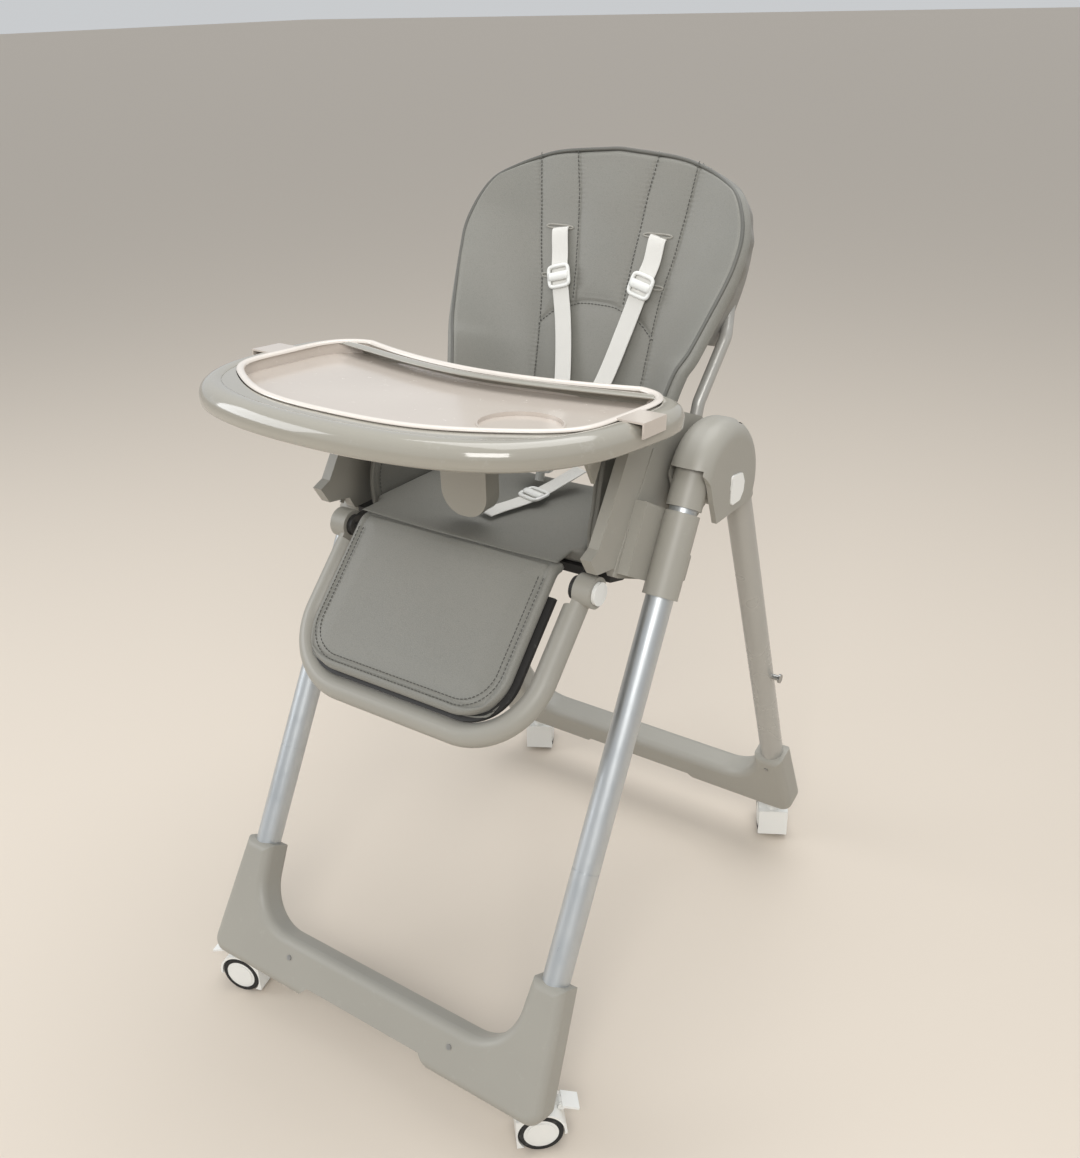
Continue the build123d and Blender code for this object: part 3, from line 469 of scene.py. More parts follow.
def makeMaterial(name, group, colour, groupValues, shaderValues, bump, coords="Object"):
    material = bpy.data.materials.new(name)
    material.use_nodes = True
    tree = material.node_tree
    shader = tree.nodes["Principled BSDF"]
    for key, value in shaderValues.items():
        shader.inputs[key].default_value = value
    place = addNode(tree, "ShaderNodeTexCoord")
    surface = addNode(tree, "ShaderNodeGroup", {"node_tree": group})
    tree.links.new(place.outputs[coords], surface.inputs["Vector"])
    surface.inputs["Colour"].default_value = colour
    for key, value in groupValues.items():
        surface.inputs[key].default_value = value
    tree.links.new(surface.outputs["Colour"], shader.inputs["Base Color"])
    tree.links.new(surface.outputs["Roughness"], shader.inputs["Roughness"])
    relief = addNode(tree, "ShaderNodeBump", Strength=bump[0], Distance=bump[1])
    tree.links.new(surface.outputs["Height"], relief.inputs["Height"])
    tree.links.new(relief.outputs[0], shader.inputs["Normal"])
    return material


def moulded(name, rgb, grainScale, grainDepth, roughness, scuffs, shaderValues, bump):
    values = {"Grain Scale": grainScale, "Grain Depth": grainDepth, "Roughness": roughness, "Scuffs": scuffs}
    return makeMaterial(name, mouldedGroup, srgb(*rgb), values, shaderValues, bump)


softSheen = {"IOR": 1.46, "Sheen Weight": 0.08, "Sheen Roughness": 0.5}


def leather(name, rgb, pebbleScale, creaseDepth, roughness, shaderValues, bump):
    values = {"Pebble Scale": pebbleScale, "Crease Depth": creaseDepth, "Roughness": roughness}
    return makeMaterial(name, leatherGroup, srgb(*rgb), values, shaderValues, bump)


taupePlastic = moulded("taupeMoulding", (158, 155, 146), 1100.0, 0.6, 0.42, 0.35,
                       {"IOR": 1.5, "Specular IOR Level": 0.5}, (0.22, 0.0003))
trayPlastic = moulded("trayGlossMoulding", (158, 154, 143), 120.0, 0.05, 0.12, 0.5,
                      {"Coat Weight": 0.6, "Coat Roughness": 0.06, "IOR": 1.5}, (0.08, 0.0003))
insertPlastic = moulded("insertMoulding", (200, 190, 180), 160.0, 0.08, 0.2, 0.6,
                        {"Coat Weight": 0.35, "Coat Roughness": 0.12, "IOR": 1.5}, (0.1, 0.0003))
whitePlastic = moulded("whiteMoulding", (236, 236, 232), 900.0, 0.3, 0.3, 0.3,
                       {"IOR": 1.5}, (0.12, 0.0002))
blackPlastic = moulded("blackMoulding", (38, 37, 36), 800.0, 0.8, 0.55, 0.4,
                       {"IOR": 1.48}, (0.3, 0.0003))
tyreRubber = moulded("tyreRubber", (30, 30, 30), 700.0, 1.0, 0.72, 0.9,
                     {"IOR": 1.45}, (0.35, 0.0004))
aluminium = makeMaterial("satinAluminium", metalGroup, srgb(196, 200, 202),
                         {"Roughness": 0.34, "Line Depth": 0.4},
                         {"Metallic": 0.85, "IOR": 1.5}, (0.12, 0.0002))
paintedTube = moulded("paintedTube", (172, 170, 164), 420.0, 0.35, 0.3, 0.3,
                      {"Metallic": 0.2, "IOR": 1.5, "Coat Weight": 0.25}, (0.1, 0.0003))
plainSteel = makeMaterial("zincSteel", metalGroup, srgb(170, 170, 168),
                          {"Roughness": 0.3, "Line Depth": 0.2}, {"Metallic": 1.0}, (0.1, 0.0002))
leatherette = leather("greyLeatherette", (134, 133, 126), 560.0, 0.6, 0.46,
                      softSheen, (0.35, 0.00035))
seatLeather = leather("seatLeatherette", (118, 117, 110), 560.0, 0.6, 0.5,
                      softSheen, (0.35, 0.00035))
pipingLeather = leather("pipingLeatherette", (98, 98, 93), 900.0, 0.3, 0.42,
                        {"IOR": 1.46}, (0.25, 0.0003))
pocketLeather = leather("pocketLeatherette", (128, 126, 120), 620.0, 0.5, 0.5,
                        softSheen, (0.3, 0.00035))
# paler than the insert: partly the rim's own paler plastic, partly painted highlight along the edge
insertEdgePaleAndHighlit = moulded("insertEdgePaleAndHighlitMoulding", (224, 216, 207), 300.0, 0.05, 0.22, 0.3,
                     {"Coat Weight": 0.3, "Coat Roughness": 0.1, "IOR": 1.5}, (0.08, 0.0002))
thread = moulded("sewingThread", (84, 84, 79), 2400.0, 1.0, 0.7, 0.0,
                 {"IOR": 1.45}, (0.4, 0.0002))
webbing = makeMaterial("whiteWebbing", weaveGroup, srgb(228, 226, 220), {"Ribs Per Metre": 620.0},
                       {"IOR": 1.45, "Sheen Weight": 0.2, "Sheen Roughness": 0.5}, (0.55, 0.0005), "UV")
slotMaterials = {"taupe_plastic": taupePlastic, "tray_plastic": trayPlastic, "insert_plastic": insertPlastic,
                 "white_plastic": whitePlastic, "black_plastic": blackPlastic, "tyre_rubber": tyreRubber,
                 "aluminium_tube": aluminium, "painted_tube": paintedTube, "steel": plainSteel,
                 "grey_leatherette": leatherette, "white_webbing": webbing}
for node in cadNodes.values():
    for place in node.material_slots:
        place.material = slotMaterials[place.material.name.split(".")[0]]
print("materials made and set on", len(cadNodes), "nodes")


# ---------- backrest cover ----------

back = {
    "leanDegrees": 17.0, "rootY": 0.10547, "rootZ": 0.660, "thickness": 0.020, "rounding": 0.008,
    "outline": [(0, .4298), (.082, .4229), (.121, .4138), (.152, .4009), (.180, .3827), (.196, .3585),
                (.2045, .3321), (.206, .3067), (.202, .276), (.193, .2354), (.181, .1883), (.170, .1597),
                (.158, .100), (.150, .044)],
    "foldSeam": [(.044, .083), (.155, .087), (.202, .090), (.251, .095), (.307, .106), (.364, .114),
                 (.425, .122)],
    "innerSeam": [(.15, .034), (.2405, .037), (.293, .041), (.329, .045), (.371, .0495), (.397, .054),
                  (.430, .060)],
    "wingDepth": [(.044, .076), (.100, .086), (.160, .083), (.188, .075), (.235, .061), (.276, .048),
                  (.307, .040), (.332, .0335), (.360, .030), (.430, .026)],
    "halfWidth": [(.044, .150), (.100, .158), (.160, .170), (.188, .181), (.235, .193), (.276, .202),
                  (.307, .206), (.430, .207)],
    "archSeam": [(-.089, .200), (-.066, .219), (-.030, .2325), (0, .235), (.030, .2325), (.066, .219),
                 (.089, .200)],
    "grid": 190, "puff": 0.0022, "puffReach": 0.014, "seamDepth": 0.0016, "seamWidth": 0.0016,
    "wingPower": 1.7, "headRise": 0.004, "headStart": 0.33, "headSpan": 0.1, "puffFades": (0.36, 0.06),
    "puckerDepth": 0.0004, "puckerReach": 0.008, "rippleDepth": 0.0013, "shoulder": (0.176, 0.388),
    "pipingRadius": 0.0024, "pipingOut": 0.0008, "pipingBack": 0.0045, "threadBeside": 0.0026,
    "threadProud": 0.0003, "foldThread": (0.06, 0.418), "innerThread": (0.238, 0.422),
}
lean = math.radians(back["leanDegrees"])
backUp = vec(0, math.sin(lean), math.cos(lean))
backFront = vec(0, -math.cos(lean), math.sin(lean))
backRoot = vec(0, back["rootY"], back["rootZ"])


def table(pairs, at):
    # value at a height, read from a smooth curve through (height, value) pairs
    path = smoothPath(pairs, 200)
    return np.interp(at, path[:, 0], path[:, 1])


def backPoint(x, up, front):
    # root plus x across, up along the back and front out of it
    x, up, front = np.broadcast_arrays(x, up, front)
    return backRoot + x[..., None] * across + up[..., None] * backUp + front[..., None] * backFront


def backDepth(x, up):
    # flat middle; past the fold seam the wing comes forward as a power of the way to the rim
    fold = table(back["foldSeam"], up)
    half = table(back["halfWidth"], up)
    way = np.clip((np.abs(x) - fold) / (half - fold), 0, 1.1)
    head = back["headRise"] * smoothStep((up - back["headStart"]) / back["headSpan"])
    return table(back["wingDepth"], up) * way ** back["wingPower"] + head


def backRelief(x, up):
    # padding puffs up between seams and is drawn in at them
    fold, inner = table(back["foldSeam"], up), table(back["innerSeam"], up)
    archLine = smoothPath(back["archSeam"], 60)
    arch = np.interp(x, archLine[:, 0], archLine[:, 1])
    toFold = np.abs(np.abs(x) - fold)
    toInner = np.abs(np.abs(x) - inner) + 1.0 * (up < arch)
    toArch = np.abs(up - arch) + 1.0 * (np.abs(x) > fold)
    near = np.minimum(np.minimum(toFold, toInner), toArch)
    fadeStart, fadeSpan = back["puffFades"]
    low = 1 - 0.75 * smoothStep((up - fadeStart) / fadeSpan)
    puff = back["puff"] * (1 - np.exp(-(near / back["puffReach"]) ** 1.4)) * low
    groove = back["seamDepth"] * np.exp(-(near / back["seamWidth"]) ** 2)
    gather = np.sin(up * 1150 + 3 * np.sin(up * 60))
    pucker = back["puckerDepth"] * gather * np.exp(-(near / back["puckerReach"]) ** 2)
    return puff - groove + pucker + back["rippleDepth"] * softRipple(x, up, 26, 5) - back["puff"]


def backSurface(x, up):
    return backPoint(x, up, backDepth(x, up) + backRelief(x, up))


size = back["grid"]
outline = smoothPath(back["outline"], 400)
shoulder = int(np.argmin(np.abs(outline - back["shoulder"]).sum(axis=1)))
rightTop = smoothPath(outline[:shoulder + 1], size // 2 + 1)
flip = vec(-1, 1)  # mirrors a plan point to the other side
topEdge = np.vstack([(rightTop * flip)[::-1], rightTop[1:]])
rightSide = smoothPath(outline[shoulder:][::-1], size)
bottomX = np.linspace(-outline[-1, 0], outline[-1, 0], len(topEdge))
bottomEdge = np.stack([bottomX, np.full(len(topEdge), outline[-1, 1])], 1)
backPlan = coonsPatch(bottomEdge, topEdge, rightSide * flip, rightSide)
backSkin = backSurface(backPlan[..., 0], backPlan[..., 1])
backCushion = padMesh("backCushion", backSkin, gridNormals(backSkin), back["thickness"], back["rounding"],
                      leatherette, backPlan)
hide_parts("back_pad")
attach(backCushion, "backrest")

# piping round the rim, then the rows of stitches
rim = np.vstack([rightSide * flip, topEdge[1:-1], rightSide[::-1]])
rimPath = backPoint(rim[:, 0], rim[:, 1], backDepth(rim[:, 0], rim[:, 1]))
rimRun = unit(np.gradient(rimPath, axis=0))
outward = unit(np.cross(backFront, rimRun))
pipingLine = rimPath + outward * back["pipingOut"] - backFront * back["pipingBack"]
pipingPath = smoothPath(evenPath(pipingLine, 90), 420)
piping = tubeAlong("backPiping", pipingPath, backFront, back["pipingRadius"], pipingLeather)
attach(piping, "backrest")


def backStitchPath(xs, ups):
    # a line on the cushion's face, with the face's own normal beside it
    path = backSurface(xs, ups)
    step = 0.0006
    du = backSurface(xs, ups + step) - path
    dx = backSurface(xs + step, ups) - path
    normal = unit(np.cross(dx, du))
    return path + normal * back["threadProud"], normal


foldUps = np.linspace(*back["foldThread"], 260)
innerUps = np.linspace(*back["innerThread"], 200)
beside = back["threadBeside"]
rows = []
for side in (-1, 1):
    rows.append(backStitchPath(side * (table(back["foldSeam"], foldUps) - beside), foldUps))
    rows.append(backStitchPath(side * (table(back["innerSeam"], innerUps) + beside), innerUps))
archPath = smoothPath(back["archSeam"], 160)
rows.append(backStitchPath(archPath[:, 0], archPath[:, 1] - 0.003))
backStitching = stitchRow("backStitching", rows, thread)
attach(backStitching, "backrest")
print("back cushion made")

# rear pocket that pulls down over the shell and its tube, open in an arch over the recline handle
pocket = {
    "hemUp": 0.200, "rearDepth": -0.0575, "thickness": 0.0016, "rows": 46, "hemRadius": 0.0021,
    "wallShare": 0.35, "bulge": 0.012, "behindRim": 0.006, "creaseDepth": 0.0016, "rippleDepth": 0.0012,
    "flat": (0.46, 0.28), "flatArea": 0.0951,
    "sideDepth": [(.19, .026), (.215, .036), (.238, .041), (.261, .040), (.289, .040), (.315, .038),
                  (.343, .034), (.373, .030), (.43, .028)],
    "arch": [(-.120, .200), (-.116, .262), (-.094, .322), (-.05, .348), (0, .353), (.05, .348), (.094, .322),
             (.116, .262), (.120, .200)],
}
above = rim[:, 1] >= pocket["hemUp"]
rimPlan = smoothPath(evenPath(rim[above], 90), 260)
archPlan = smoothPath(pocket["arch"], 260)
k = np.linspace(0, 1, pocket["rows"])[:, None]
wall = np.clip(k / pocket["wallShare"], 0, 1)
inward = smoothStep((k - 0.26) / 0.74)
rimX, rimUp = rimPlan[None, :, 0], rimPlan[None, :, 1]
bulge = 1 + pocket["bulge"] * np.sin(wall * math.pi)
pocketX = (rimX * bulge) * (1 - inward) + archPlan[None, :, 0] * inward
pocketUp = rimUp * (1 - inward) + archPlan[None, :, 1] * inward
rimW = backDepth(rimX, rimUp) - pocket["behindRim"]
corner = rimW - table(pocket["sideDepth"], rimUp)
turnIn = smoothStep((k - 0.30) / 0.28)
pocketW = (rimW * (1 - wall) + corner * wall) * (1 - turnIn) + pocket["rearDepth"] * turnIn
crease = pocket["creaseDepth"] * np.sin(rimUp * 190 + 7 * k) * np.sin(wall * math.pi)
pocketX = pocketX + np.sign(rimX) * crease
pocketW = pocketW + pocket["rippleDepth"] * softRipple(pocketX, pocketUp, 36, 9) * turnIn
pocketSkin = backPoint(pocketX, pocketUp, pocketW)
rearPocket = curveSheet("backPocket", pocketSkin[:, ::-1], pocketLeather, pocket["thickness"])
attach(rearPocket, "backrest")
hemPath = smoothPath(pocketSkin[-1], 260)
hemCord = tubeAlong("pocketHem", hemPath, backFront, pocket["hemRadius"], pipingLeather)
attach(hemCord, "backrest")
print("rear pocket made")


# ---------- seat cushion, side flaps ----------

seat = {
    "half": 0.164, "front": -0.111, "back": 0.071, "top": 0.676, "thickness": 0.022, "rounding": 0.010,
    "lipDrop": 0.002, "grid": 130, "lipFront": -0.1490, "lipThickness": 0.0045, "sunk": 0.001,
    "dish": 0.0025, "rippleDepth": 0.0012, "lipTaper": 0.085, "waist": 0.02,
}


def seatHeight(x, y):
    # nearly flat, dished a little in the middle, rolling down at the front lip
    lip = smoothStep((seat["front"] + 0.02 - y) / 0.05)
    dish = seat["dish"] * (1 - (x / seat["half"]) ** 2)
    ripple = seat["rippleDepth"] * softRipple(x, y, 30, 3)
    return seat["top"] - seat["sunk"] - dish - lip * seat["lipDrop"] + ripple


sx = np.linspace(-1, 1, seat["grid"])[None, :] * seat["half"] * np.ones((seat["grid"], 1))
sy = np.linspace(seat["lipFront"], seat["back"], seat["grid"])[:, None] * np.ones((1, seat["grid"]))
onLip = smoothStep((seat["front"] + 0.006 - sy) / 0.012)
waist = seat["waist"] * np.sin(np.linspace(0, math.pi, seat["grid"]))[:, None]
sx = sx * (1 - seat["lipTaper"] * onLip) * (1 - waist)
seatSkin = np.stack([sx, sy, seatHeight(sx, sy)], -1)
seatDepth = seat["thickness"] * (1 - onLip) + seat["lipThickness"] * onLip
seatCushion = padMesh("seatCushion", seatSkin, gridNormals(seatSkin), seatDepth, seat["rounding"],
                      seatLeather)
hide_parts("seat_pad")
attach(seatCushion, "seat")

flap = {
    "inner": 0.1635, "thickness": 0.011, "rounding": 0.006, "grid": 90, "points": 300, "crown": 0.0025,
    "crownReach": 0.05, "rippleDepth": 0.0007, "pipingRadius": 0.0024, "pipingOut": 0.003,
    "threadInset": -0.009, "threadIn": 0.0012, "corners": (75, 204),
    "outline": [(-0.107, .658), (-0.107, .696), (-0.098, .725), (-0.091, .755), (-0.078, .783),
                (-0.04, .786), (0.005, .786), (0.028, .783), (0.042, .764), (0.052, .740), (0.056, .70),
                (0.057, .658)],
}


def makeFlap(side):
    # side wing of the seat cover: four edges of its outline blended, crowned towards the child
    line = smoothPath(flap["outline"], flap["points"])
    n = flap["grid"]
    frontCorner, rearCorner = flap["corners"]
    frontEdge = smoothPath(line[:frontCorner], n)
    topCurve = smoothPath(line[frontCorner - 1:rearCorner + 1], n)
    rearEdge = smoothPath(line[rearCorner:][::-1], n)
    low = np.stack([np.linspace(line[0, 0], line[-1, 0], n), np.full(n, line[0, 1])], 1)
    plan = coonsPatch(low, topCurve, frontEdge, rearEdge)
    y, z = plan[..., 0], plan[..., 1]
    d = np.clip(edgeDistance(np.stack([y * 0, y, z], -1)) / flap["crownReach"], 0, 1)
    x = side * (flap["inner"] - flap["crown"] * d + flap["rippleDepth"] * softRipple(y, z, 40, 7))
    skin = np.stack([x, y, z], -1)
    normal = np.broadcast_to(vec(-side, 0, 0), skin.shape)
    name = "seatFlapLeft" if side > 0 else "seatFlapRight"
    piece = padMesh(name, skin, normal, flap["thickness"], flap["rounding"], seatLeather, turned=side > 0)
    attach(piece, "seat")
    edgeX = np.full(flap["points"], side * (flap["inner"] + flap["pipingOut"]))
    edge = smoothPath(np.column_stack([edgeX, line]), 260)
    cord = tubeAlong(name + "Piping", edge, vec(-side, 0, 0), flap["pipingRadius"], seatLeather)
    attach(cord, "seat")
    aside = unit(np.stack([-np.gradient(line[:, 1]), np.gradient(line[:, 0])], 1))
    sewX = np.full(flap["points"], side * (flap["inner"] - flap["threadIn"]))
    sew = np.column_stack([sewX, line + aside * flap["threadInset"]])
    return sew, np.broadcast_to(vec(-side, 0, 0), sew.shape)


flapRows = [makeFlap(1), makeFlap(-1)]
flapStitching = stitchRow("seatStitching", flapRows, thread)
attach(flapStitching, "seat")
print("seat cushion and flaps made")


# ---------- legrest cushion ----------

legrest = {
    "pivotY": -0.14113, "pivotZ": 0.641, "droopDegrees": 45.6, "rise": 0.0282, "half": 0.151,
    "length": 0.186, "corner": 0.060, "thickness": 0.0150, "rounding": 0.0085, "grid": 130,
    "start": -0.030, "border": 0.013, "crown": 0.0022, "crownSpan": 0.03, "seamDepth": 0.0018,
    "seamWidth": 0.0022, "rippleDepth": 0.0009, "threadLifts": {0.0095: -0.0012, 0.0165: -0.0010},
    "threadStart": 0.008,
}
droop = math.radians(legrest["droopDegrees"])
legDown = vec(0, -math.cos(droop), -math.sin(droop))
legUp = vec(0, -math.sin(droop), math.cos(droop))
legPivot = vec(0, legrest["pivotY"], legrest["pivotZ"])


def legrestSkin(x, d, lift=0.0):
    # past the pivot the face is a plane along the legrest; before it, it rolls back round the pivot
    x, d, lift = np.broadcast_arrays(x, d, lift)
    radius = legrest["rise"] + lift
    turn = np.clip(-d / legrest["rise"], 0, None)
    flat = np.clip(d, 0, None)
    normal = np.cos(turn)[..., None] * legUp - np.sin(turn)[..., None] * legDown
    return legPivot + x[..., None] * across + flat[..., None] * legDown + radius[..., None] * normal


def tonguePlan(inset=0.0):
    half, length, corner = legrest["half"] - inset, legrest["length"] - inset, legrest["corner"] - inset
    n = legrest["grid"]

    def cornerArc(low, high):
        a = np.linspace(low, high, 40)
        return np.stack([half - corner + corner * np.sin(a), length - corner + corner * np.cos(a)], 1)

    endArc, sideArc = cornerArc(0, math.pi / 4), cornerArc(math.pi / 4, math.pi / 2)
    endHalf = evenPath(np.vstack([[[0, length]], endArc]), n // 2 + 1)
    sideLine = evenPath(np.vstack([sideArc, [[half, legrest["start"] + inset]]]), n)
    return endHalf, sideLine


endHalf, sideLine = tonguePlan()
bottom = np.vstack([(endHalf * flip)[::-1], endHalf[1:]])
topX = np.linspace(-sideLine[-1, 0], sideLine[-1, 0], len(bottom))
topLine = np.stack([topX, np.full(len(bottom), legrest["start"])], 1)
plan = coonsPatch(bottom, topLine, sideLine * flip, sideLine)
lx, ld = plan[..., 0], plan[..., 1]
rimD = edgeDistance(np.stack([lx, ld, 0 * lx], -1))
fromSeam = rimD - legrest["border"]
lift = legrest["crown"] * smoothStep(fromSeam / legrest["crownSpan"])
lift = lift - legrest["seamDepth"] * np.exp(-(fromSeam / legrest["seamWidth"]) ** 2)
lift = lift + legrest["rippleDepth"] * softRipple(lx, ld, 30, 21) - legrest["crown"]
legSkin = legrestSkin(lx, ld, lift)
legrestCushion = padMesh("legrestCushion", legSkin, gridNormals(legSkin), legrest["thickness"],
                         legrest["rounding"], leatherette)
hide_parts("legrest_pad")
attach(legrestCushion, "legrest")

# two rows of stitches, stopping clear of the seat's lip for when the legrest is up
legRows = []
for inset, threadLift in legrest["threadLifts"].items():
    e, s = tonguePlan(inset)
    loop = np.vstack([(s * flip)[::-1], (e * flip)[::-1][1:], e[1:], s[1:]])
    loop = evenPath(loop[loop[:, 1] > legrest["threadStart"]], 400)
    line = legrestSkin(loop[:, 0], loop[:, 1], threadLift)
    turn = np.clip(-loop[:, 1] / legrest["rise"], 0, None)[:, None]
    legRows.append((line, np.cos(turn) * legUp - np.sin(turn) * legDown))
legStitching = stitchRow("legrestStitching", legRows, thread)
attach(legStitching, "legrest")
print("legrest cushion made")


# ---------- harness straps ----------

straps = {
    "width": 0.025, "thickness": 0.0017, "wireHalf": (0.0026, 0.0022), "barHalf": (0.0058, 0.0031),
    "squareness": 0.35, "proud": 0.0026, "shoulderSize": (0.0305, 0.027), "lapSize": (0.033, 0.024),
    "slots": [(0.0755, 0.3265, 0.021), (0.083, 0.262, 0.011)], "slotHalfHeight": 0.0024, "lipRadius": 0.0012,
    "lipProud": 0.0006,
}


def strapPiece(name, path, normal, body, node=None):
    sideways = unit(np.cross(unit(np.gradient(path, axis=0)), normal))
    upward = np.cross(sideways, unit(np.gradient(path, axis=0)))
    points, uv = sweepGrid(path, sideways, upward, tapeProfile(straps["width"], straps["thickness"]))
    piece = buildMesh(name, [(points, True, True, uv)], webbing)
    if node:
        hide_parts(node)
    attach(piece, body)


shoulderRoutes = {
    "shoulderStrapLeft": [(.078, .3265, -.004), (.077, .321, .003), (.075, .292, .0045), (.067, .262, .0065),
                          (.052, .203, .007), (.037, .140, .012), (.022, .085, .024)],
    "shoulderStrapRight": [(-.073, .3265, -.004), (-.072, .321, .003), (-.066, .292, .0045),
                           (-.060, .262, .0065), (-.044, .203, .007), (-.030, .140, .012),
                           (-.018, .085, .024)],
}
for name, route in shoulderRoutes.items():
    r = np.array(route)
    path = smoothPath(backPoint(r[:, 0], r[:, 1], r[:, 2]), 120)
    strapPiece(name, path, backFront, "backrest", "shoulder_straps" if "Left" in name else None)

lapRoute = np.array([(.052, .052, .699), (.043, .031, .692), (.033, .008, .685), (.026, -.022, .681),
                     (.019, -.045, .6795), (.010, -.070, .679), (.004, -.092, .6785)])
lapPath = smoothPath(lapRoute, 120)
strapPiece("lapStrap", lapPath, vec(0, 0, 1), "seat", "lap_strap")


def sliderBuckle(name, centre, sideways, upward, normal, size, body, node=None):
    # rounded frame with a middle bar: a superellipse ring plus one bar, each carried as a tube
    a = np.linspace(0, 2 * math.pi, 97)[:-1]
    power = straps["squareness"]
    ringX = np.sign(np.cos(a)) * np.abs(np.cos(a)) ** power * size[0] / 2
    ringY = np.sign(np.sin(a)) * np.abs(np.sin(a)) ** power * size[1] / 2
    path = centre + ringX[:, None] * sideways + ringY[:, None] * upward
    path = np.vstack([path, path[:1]])
    path = smoothPath(path, 121)
    tangent = unit(np.gradient(path, axis=0))
    tangent[0] = tangent[-1] = unit(path[1] - path[-2])
    out = unit(np.cross(tangent, normal))
    profile = ringProfile(1.0, 12) * straps["wireHalf"]
    points, uv = sweepGrid(path, out, np.broadcast_to(normal, path.shape), profile, False)
    barPath = centre + np.linspace(-0.5, 0.5, 9)[:, None] * sideways * size[0] + 0.0006 * normal
    barOut = np.broadcast_to(upward, barPath.shape)
    barPoints, barUv = sweepGrid(barPath, barOut, np.broadcast_to(normal, barPath.shape),
                                 ringProfile(1.0, 16) * straps["barHalf"])
    piece = buildMesh(name, [(points, True, False, uv), (barPoints, True, False, barUv)], whitePlastic)
    work = bmesh.new()
    work.from_mesh(piece.data)
    bmesh.ops.recalc_face_normals(work, faces=work.faces)
    work.to_mesh(piece.data)
    work.free()
    if node:
        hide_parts(node)
    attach(piece, body)


for name, route in shoulderRoutes.items():
    r = np.array(route)
    path = backPoint(r[:, 0], r[:, 1], r[:, 2])
    runDirection = unit(path[3] - path[4])
    sideways = unit(np.cross(runDirection, backFront))
    sliderBuckle(name.replace("Strap", "Adjuster"), path[3] + backFront * straps["proud"], sideways,
                 runDirection, backFront, straps["shoulderSize"], "backrest",
                 "strap_adjusters" if "Left" in name else None)
lapRun = unit(lapPath[60] - lapPath[66])
lapNormal = vec(0, 0.02, 1.0)
lapNormal = unit(lapNormal - lapRun * float(lapNormal @ lapRun))
sliderBuckle("lapAdjuster", lapPath[60] + lapNormal * straps["proud"], unit(np.cross(lapRun, lapNormal)),
             lapRun, lapNormal, straps["lapSize"], "seat")


def slotRim(x, up, halfLength):
    # flat oval lip round a harness slot
    a = np.linspace(0, 2 * math.pi, 49)
    px = x + np.sign(np.cos(a)) * (halfLength * np.abs(np.cos(a)) ** 0.6)
    pu = up + straps["slotHalfHeight"] * np.sin(a)
    path = backPoint(px, pu, backDepth(px, pu) + backRelief(px, pu) + straps["lipProud"])
    tangent = unit(np.gradient(path, axis=0))
    tangent[0] = tangent[-1] = unit(path[1] - path[-2])
    out = unit(np.cross(tangent, backFront))
    upward = np.broadcast_to(backFront, path.shape)
    return sweepGrid(path, out, upward, ringProfile(straps["lipRadius"], 8), False)[0]


rims = []
for side in (-1, 1):
    for slotX, slotUp, halfLength in straps["slots"]:
        rims.append((slotRim(side * slotX, slotUp, halfLength), True, True, None))
slotRims = buildMesh("harnessSlotRims", rims, taupePlastic)
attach(slotRims, "backrest")
print("harness made")


# ---------- tray apron and insert edge ----------

tray = {"tiltDegrees": 4.3, "rootY": -0.03113, "rootZ": 0.855, "half": .275, "front": .346}
insert = {"half": .246, "front": .303}
trayTilt = math.radians(tray["tiltDegrees"])
trayBack = vec(0, math.cos(trayTilt), -math.sin(trayTilt))
trayUp = vec(0, math.sin(trayTilt), math.cos(trayTilt))
trayRoot = vec(0, tray["rootY"], tray["rootZ"])


def splineThrough(points, count):
    # cubic spline through the points by chord length, with not-a-knot ends
    q = np.asarray(points, float)
    s = runLengths(q)
    h = np.diff(s)
    n = len(q)
    rows, right = np.zeros((n, n)), np.zeros_like(q)
    for i in range(1, n - 1):
        rows[i, i - 1:i + 2] = h[i - 1], 2 * (h[i - 1] + h[i]), h[i]
        right[i] = 6 * ((q[i + 1] - q[i]) / h[i] - (q[i] - q[i - 1]) / h[i - 1])
    rows[0, :3] = h[1], -(h[0] + h[1]), h[0]
    rows[-1, -3:] = h[-1], -(h[-2] + h[-1]), h[-2]
    bend = np.linalg.solve(rows, right)
    t = np.linspace(0, s[-1], count)
    i = np.clip(np.searchsorted(s, t, side="right") - 1, 0, n - 2)
    a, b = ((s[i + 1] - t) / h[i])[:, None], ((t - s[i]) / h[i])[:, None]
    wide = (h[i] ** 2 / 6)[:, None]
    return a * q[i] + b * q[i + 1] + ((a ** 3 - a) * bend[i] + (b ** 3 - b) * bend[i + 1]) * wide


def trayOutline(half, front, count=480):
    # bowed front, round sides and the shallow hollow at the back, counter-clockwise from above
    right = [(half - .046, -.018), (half - .012, -.036), (half, -.130), (half - .010, -.205),
             (half * .78, .056 - front), (half * .45, .013 - front), (0, -front)]
    left = [(-x, v) for x, v in reversed(right)]
    rimLine = splineThrough(right + left[1:], 900)
    hollow = splineThrough([left[-1], (-.112, -.046), (0, -.060), (.112, -.046), right[0]], 400)
    line = evenPath(np.vstack([rimLine, hollow[1:]])[::-1], count + 1)
    ring = line[:-1]
    ring = (np.roll(ring, 1, 0) + 2 * ring + np.roll(ring, -1, 0)) / 4
    return np.vstack([ring, ring[:1]])


def trayRing(name, line, profile, material, body):
    # profile of (outward, up) pairs carried round the outline; outward is level with the rim plane
    run = np.gradient(np.vstack([line[-2], line, line[1]]), axis=0)[1:-1]
    out2 = unit(np.stack([run[:, 1], -run[:, 0]], 1))
    out3 = out2[:, :1] * across + out2[:, 1:] * trayBack
    path = trayRoot + line[:, :1] * across + line[:, 1:] * trayBack
    ring = smoothPath(np.vstack([profile, profile[:1]]), 61)[:-1]
    points, uv = sweepGrid(path, out3, np.broadcast_to(trayUp, path.shape), ring, False)
    piece = buildMesh(name, [(points, True, False, uv)], material)
    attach(piece, body)


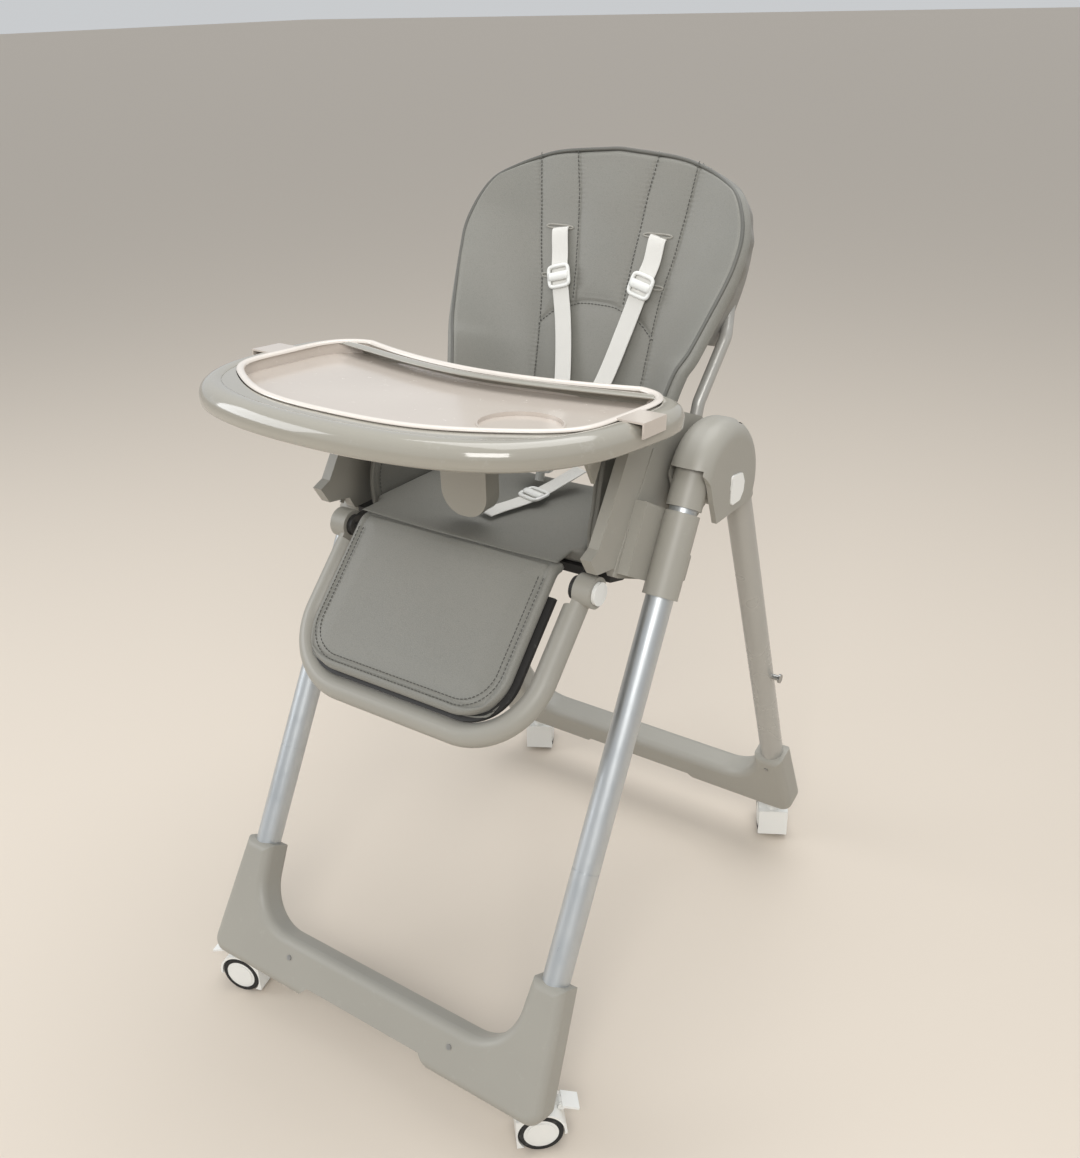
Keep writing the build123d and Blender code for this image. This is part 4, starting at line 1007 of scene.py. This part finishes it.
# both profiles are (outward, up) in millimetres
apronProfile = np.array([(-25, -.9), (-21, .2), (-16, .7), (-11, .1), (-6, -2.2), (-2, -6.2), (.6, -12),
                         (1.0, -18), (.2, -23.5), (-2.2, -27), (-6, -28.4), (-9, -27.6), (-9.5, -26),
                         (-6, -25.6), (-3.4, -23), (-2.4, -18), (-3.0, -12.5), (-6, -8.5), (-11, -5),
                         (-17, -3), (-24, -2.4)]) / 1000
trayRing("trayApron", trayOutline(tray["half"], tray["front"]), apronProfile, trayPlastic, "tray")
edgeProfile = np.array([(-6.2, -.8), (-5.2, 1.6), (-3.2, 2.9), (-.6, 3.2), (1.8, 2.5), (3.2, 1.0), (2.9, -.2),
                        (.6, -.6), (-3, -1.2)]) / 1000
# the rim ring carries the paler colour, which includes a painted highlight
trayRing("insertEdgePaleAndHighlit", trayOutline(insert["half"], insert["front"]), edgeProfile, insertEdgePaleAndHighlit, "tray_insert")
print("tray edges made")


# ---------- floor, light and camera ----------

def floorPaint():
    material = bpy.data.materials.new("paleFloor")
    material.use_nodes = True
    shader = material.node_tree.nodes["Principled BSDF"]
    shader.inputs["Base Color"].default_value = srgb(212, 201, 187)
    shader.inputs["Roughness"].default_value = 0.6
    return material


def makeStage():
    reach = np.linspace(-60, 60, 3)
    ground = np.stack(np.meshgrid(reach, reach, [0.0], indexing="xy"), -1)[:, :, 0]
    floor = buildMesh("floor", [(ground, False, False, None)], floorPaint())
    world = bpy.data.worlds.new("softRoom")
    world.use_nodes = True
    background = world.node_tree.nodes["Background"]
    background.inputs["Color"].default_value = (0.78, 0.80, 0.82, 1)
    background.inputs["Strength"].default_value = 0.75
    bpy.context.scene.world = world


def areaLight(name, place, target, size, power, colour=(1, 1, 1)):
    light = bpy.data.lights.new(name, "AREA")
    light.shape = "RECTANGLE"
    light.size, light.size_y = size
    light.energy = power
    light.color = colour
    lamp = bpy.data.objects.new(name, light)
    bpy.context.scene.collection.objects.link(lamp)
    lamp.location = place
    lamp.rotation_euler = (Vector(target) - Vector(place)).to_track_quat("-Z", "Y").to_euler()


makeStage()
areaLight("keyLight", (1.6, -2.4, 2.6), (0, 0, 0.6), (1.6, 1.2), 54, (1.0, 0.985, 0.96))
areaLight("fillLight", (-2.6, -1.6, 1.8), (0, 0, 0.5), (2.0, 1.6), 34, (0.95, 0.97, 1.0))
areaLight("topLight", (0.2, 0.6, 3.0), (0, 0, 0.4), (2.2, 2.2), 40)

view = {
    "place": (0.8472, -1.1604, 1.2563), "azimuth": 35.53, "elevation": 26.251, "roll": -1.6701,
    "lens": 37.05, "sensor": 36,
}


def makeCamera():
    a, e, r = (math.radians(view[k]) for k in ("azimuth", "elevation", "roll"))
    backward = vec(math.sin(a) * math.cos(e), -math.cos(a) * math.cos(e), math.sin(e))
    right = unit(np.cross(-backward, vec(0, 0, 1)))
    upward = np.cross(right, -backward)
    camX = math.cos(r) * right + math.sin(r) * upward
    camY = -math.sin(r) * right + math.cos(r) * upward
    lensData = bpy.data.cameras.new("camera")
    lensData.lens = view["lens"]
    lensData.sensor_width = view["sensor"]
    camera = bpy.data.objects.new("camera", lensData)
    bpy.context.scene.collection.objects.link(camera)
    placed = Matrix.Identity(4)
    for row in range(3):
        placed[row][0], placed[row][1], placed[row][2] = camX[row], camY[row], backward[row]
        placed[row][3] = view["place"][row]
    camera.matrix_world = placed
    bpy.context.scene.camera = camera


makeCamera()
bpy.context.scene.view_settings.view_transform = "Standard"
print("stage and camera made")
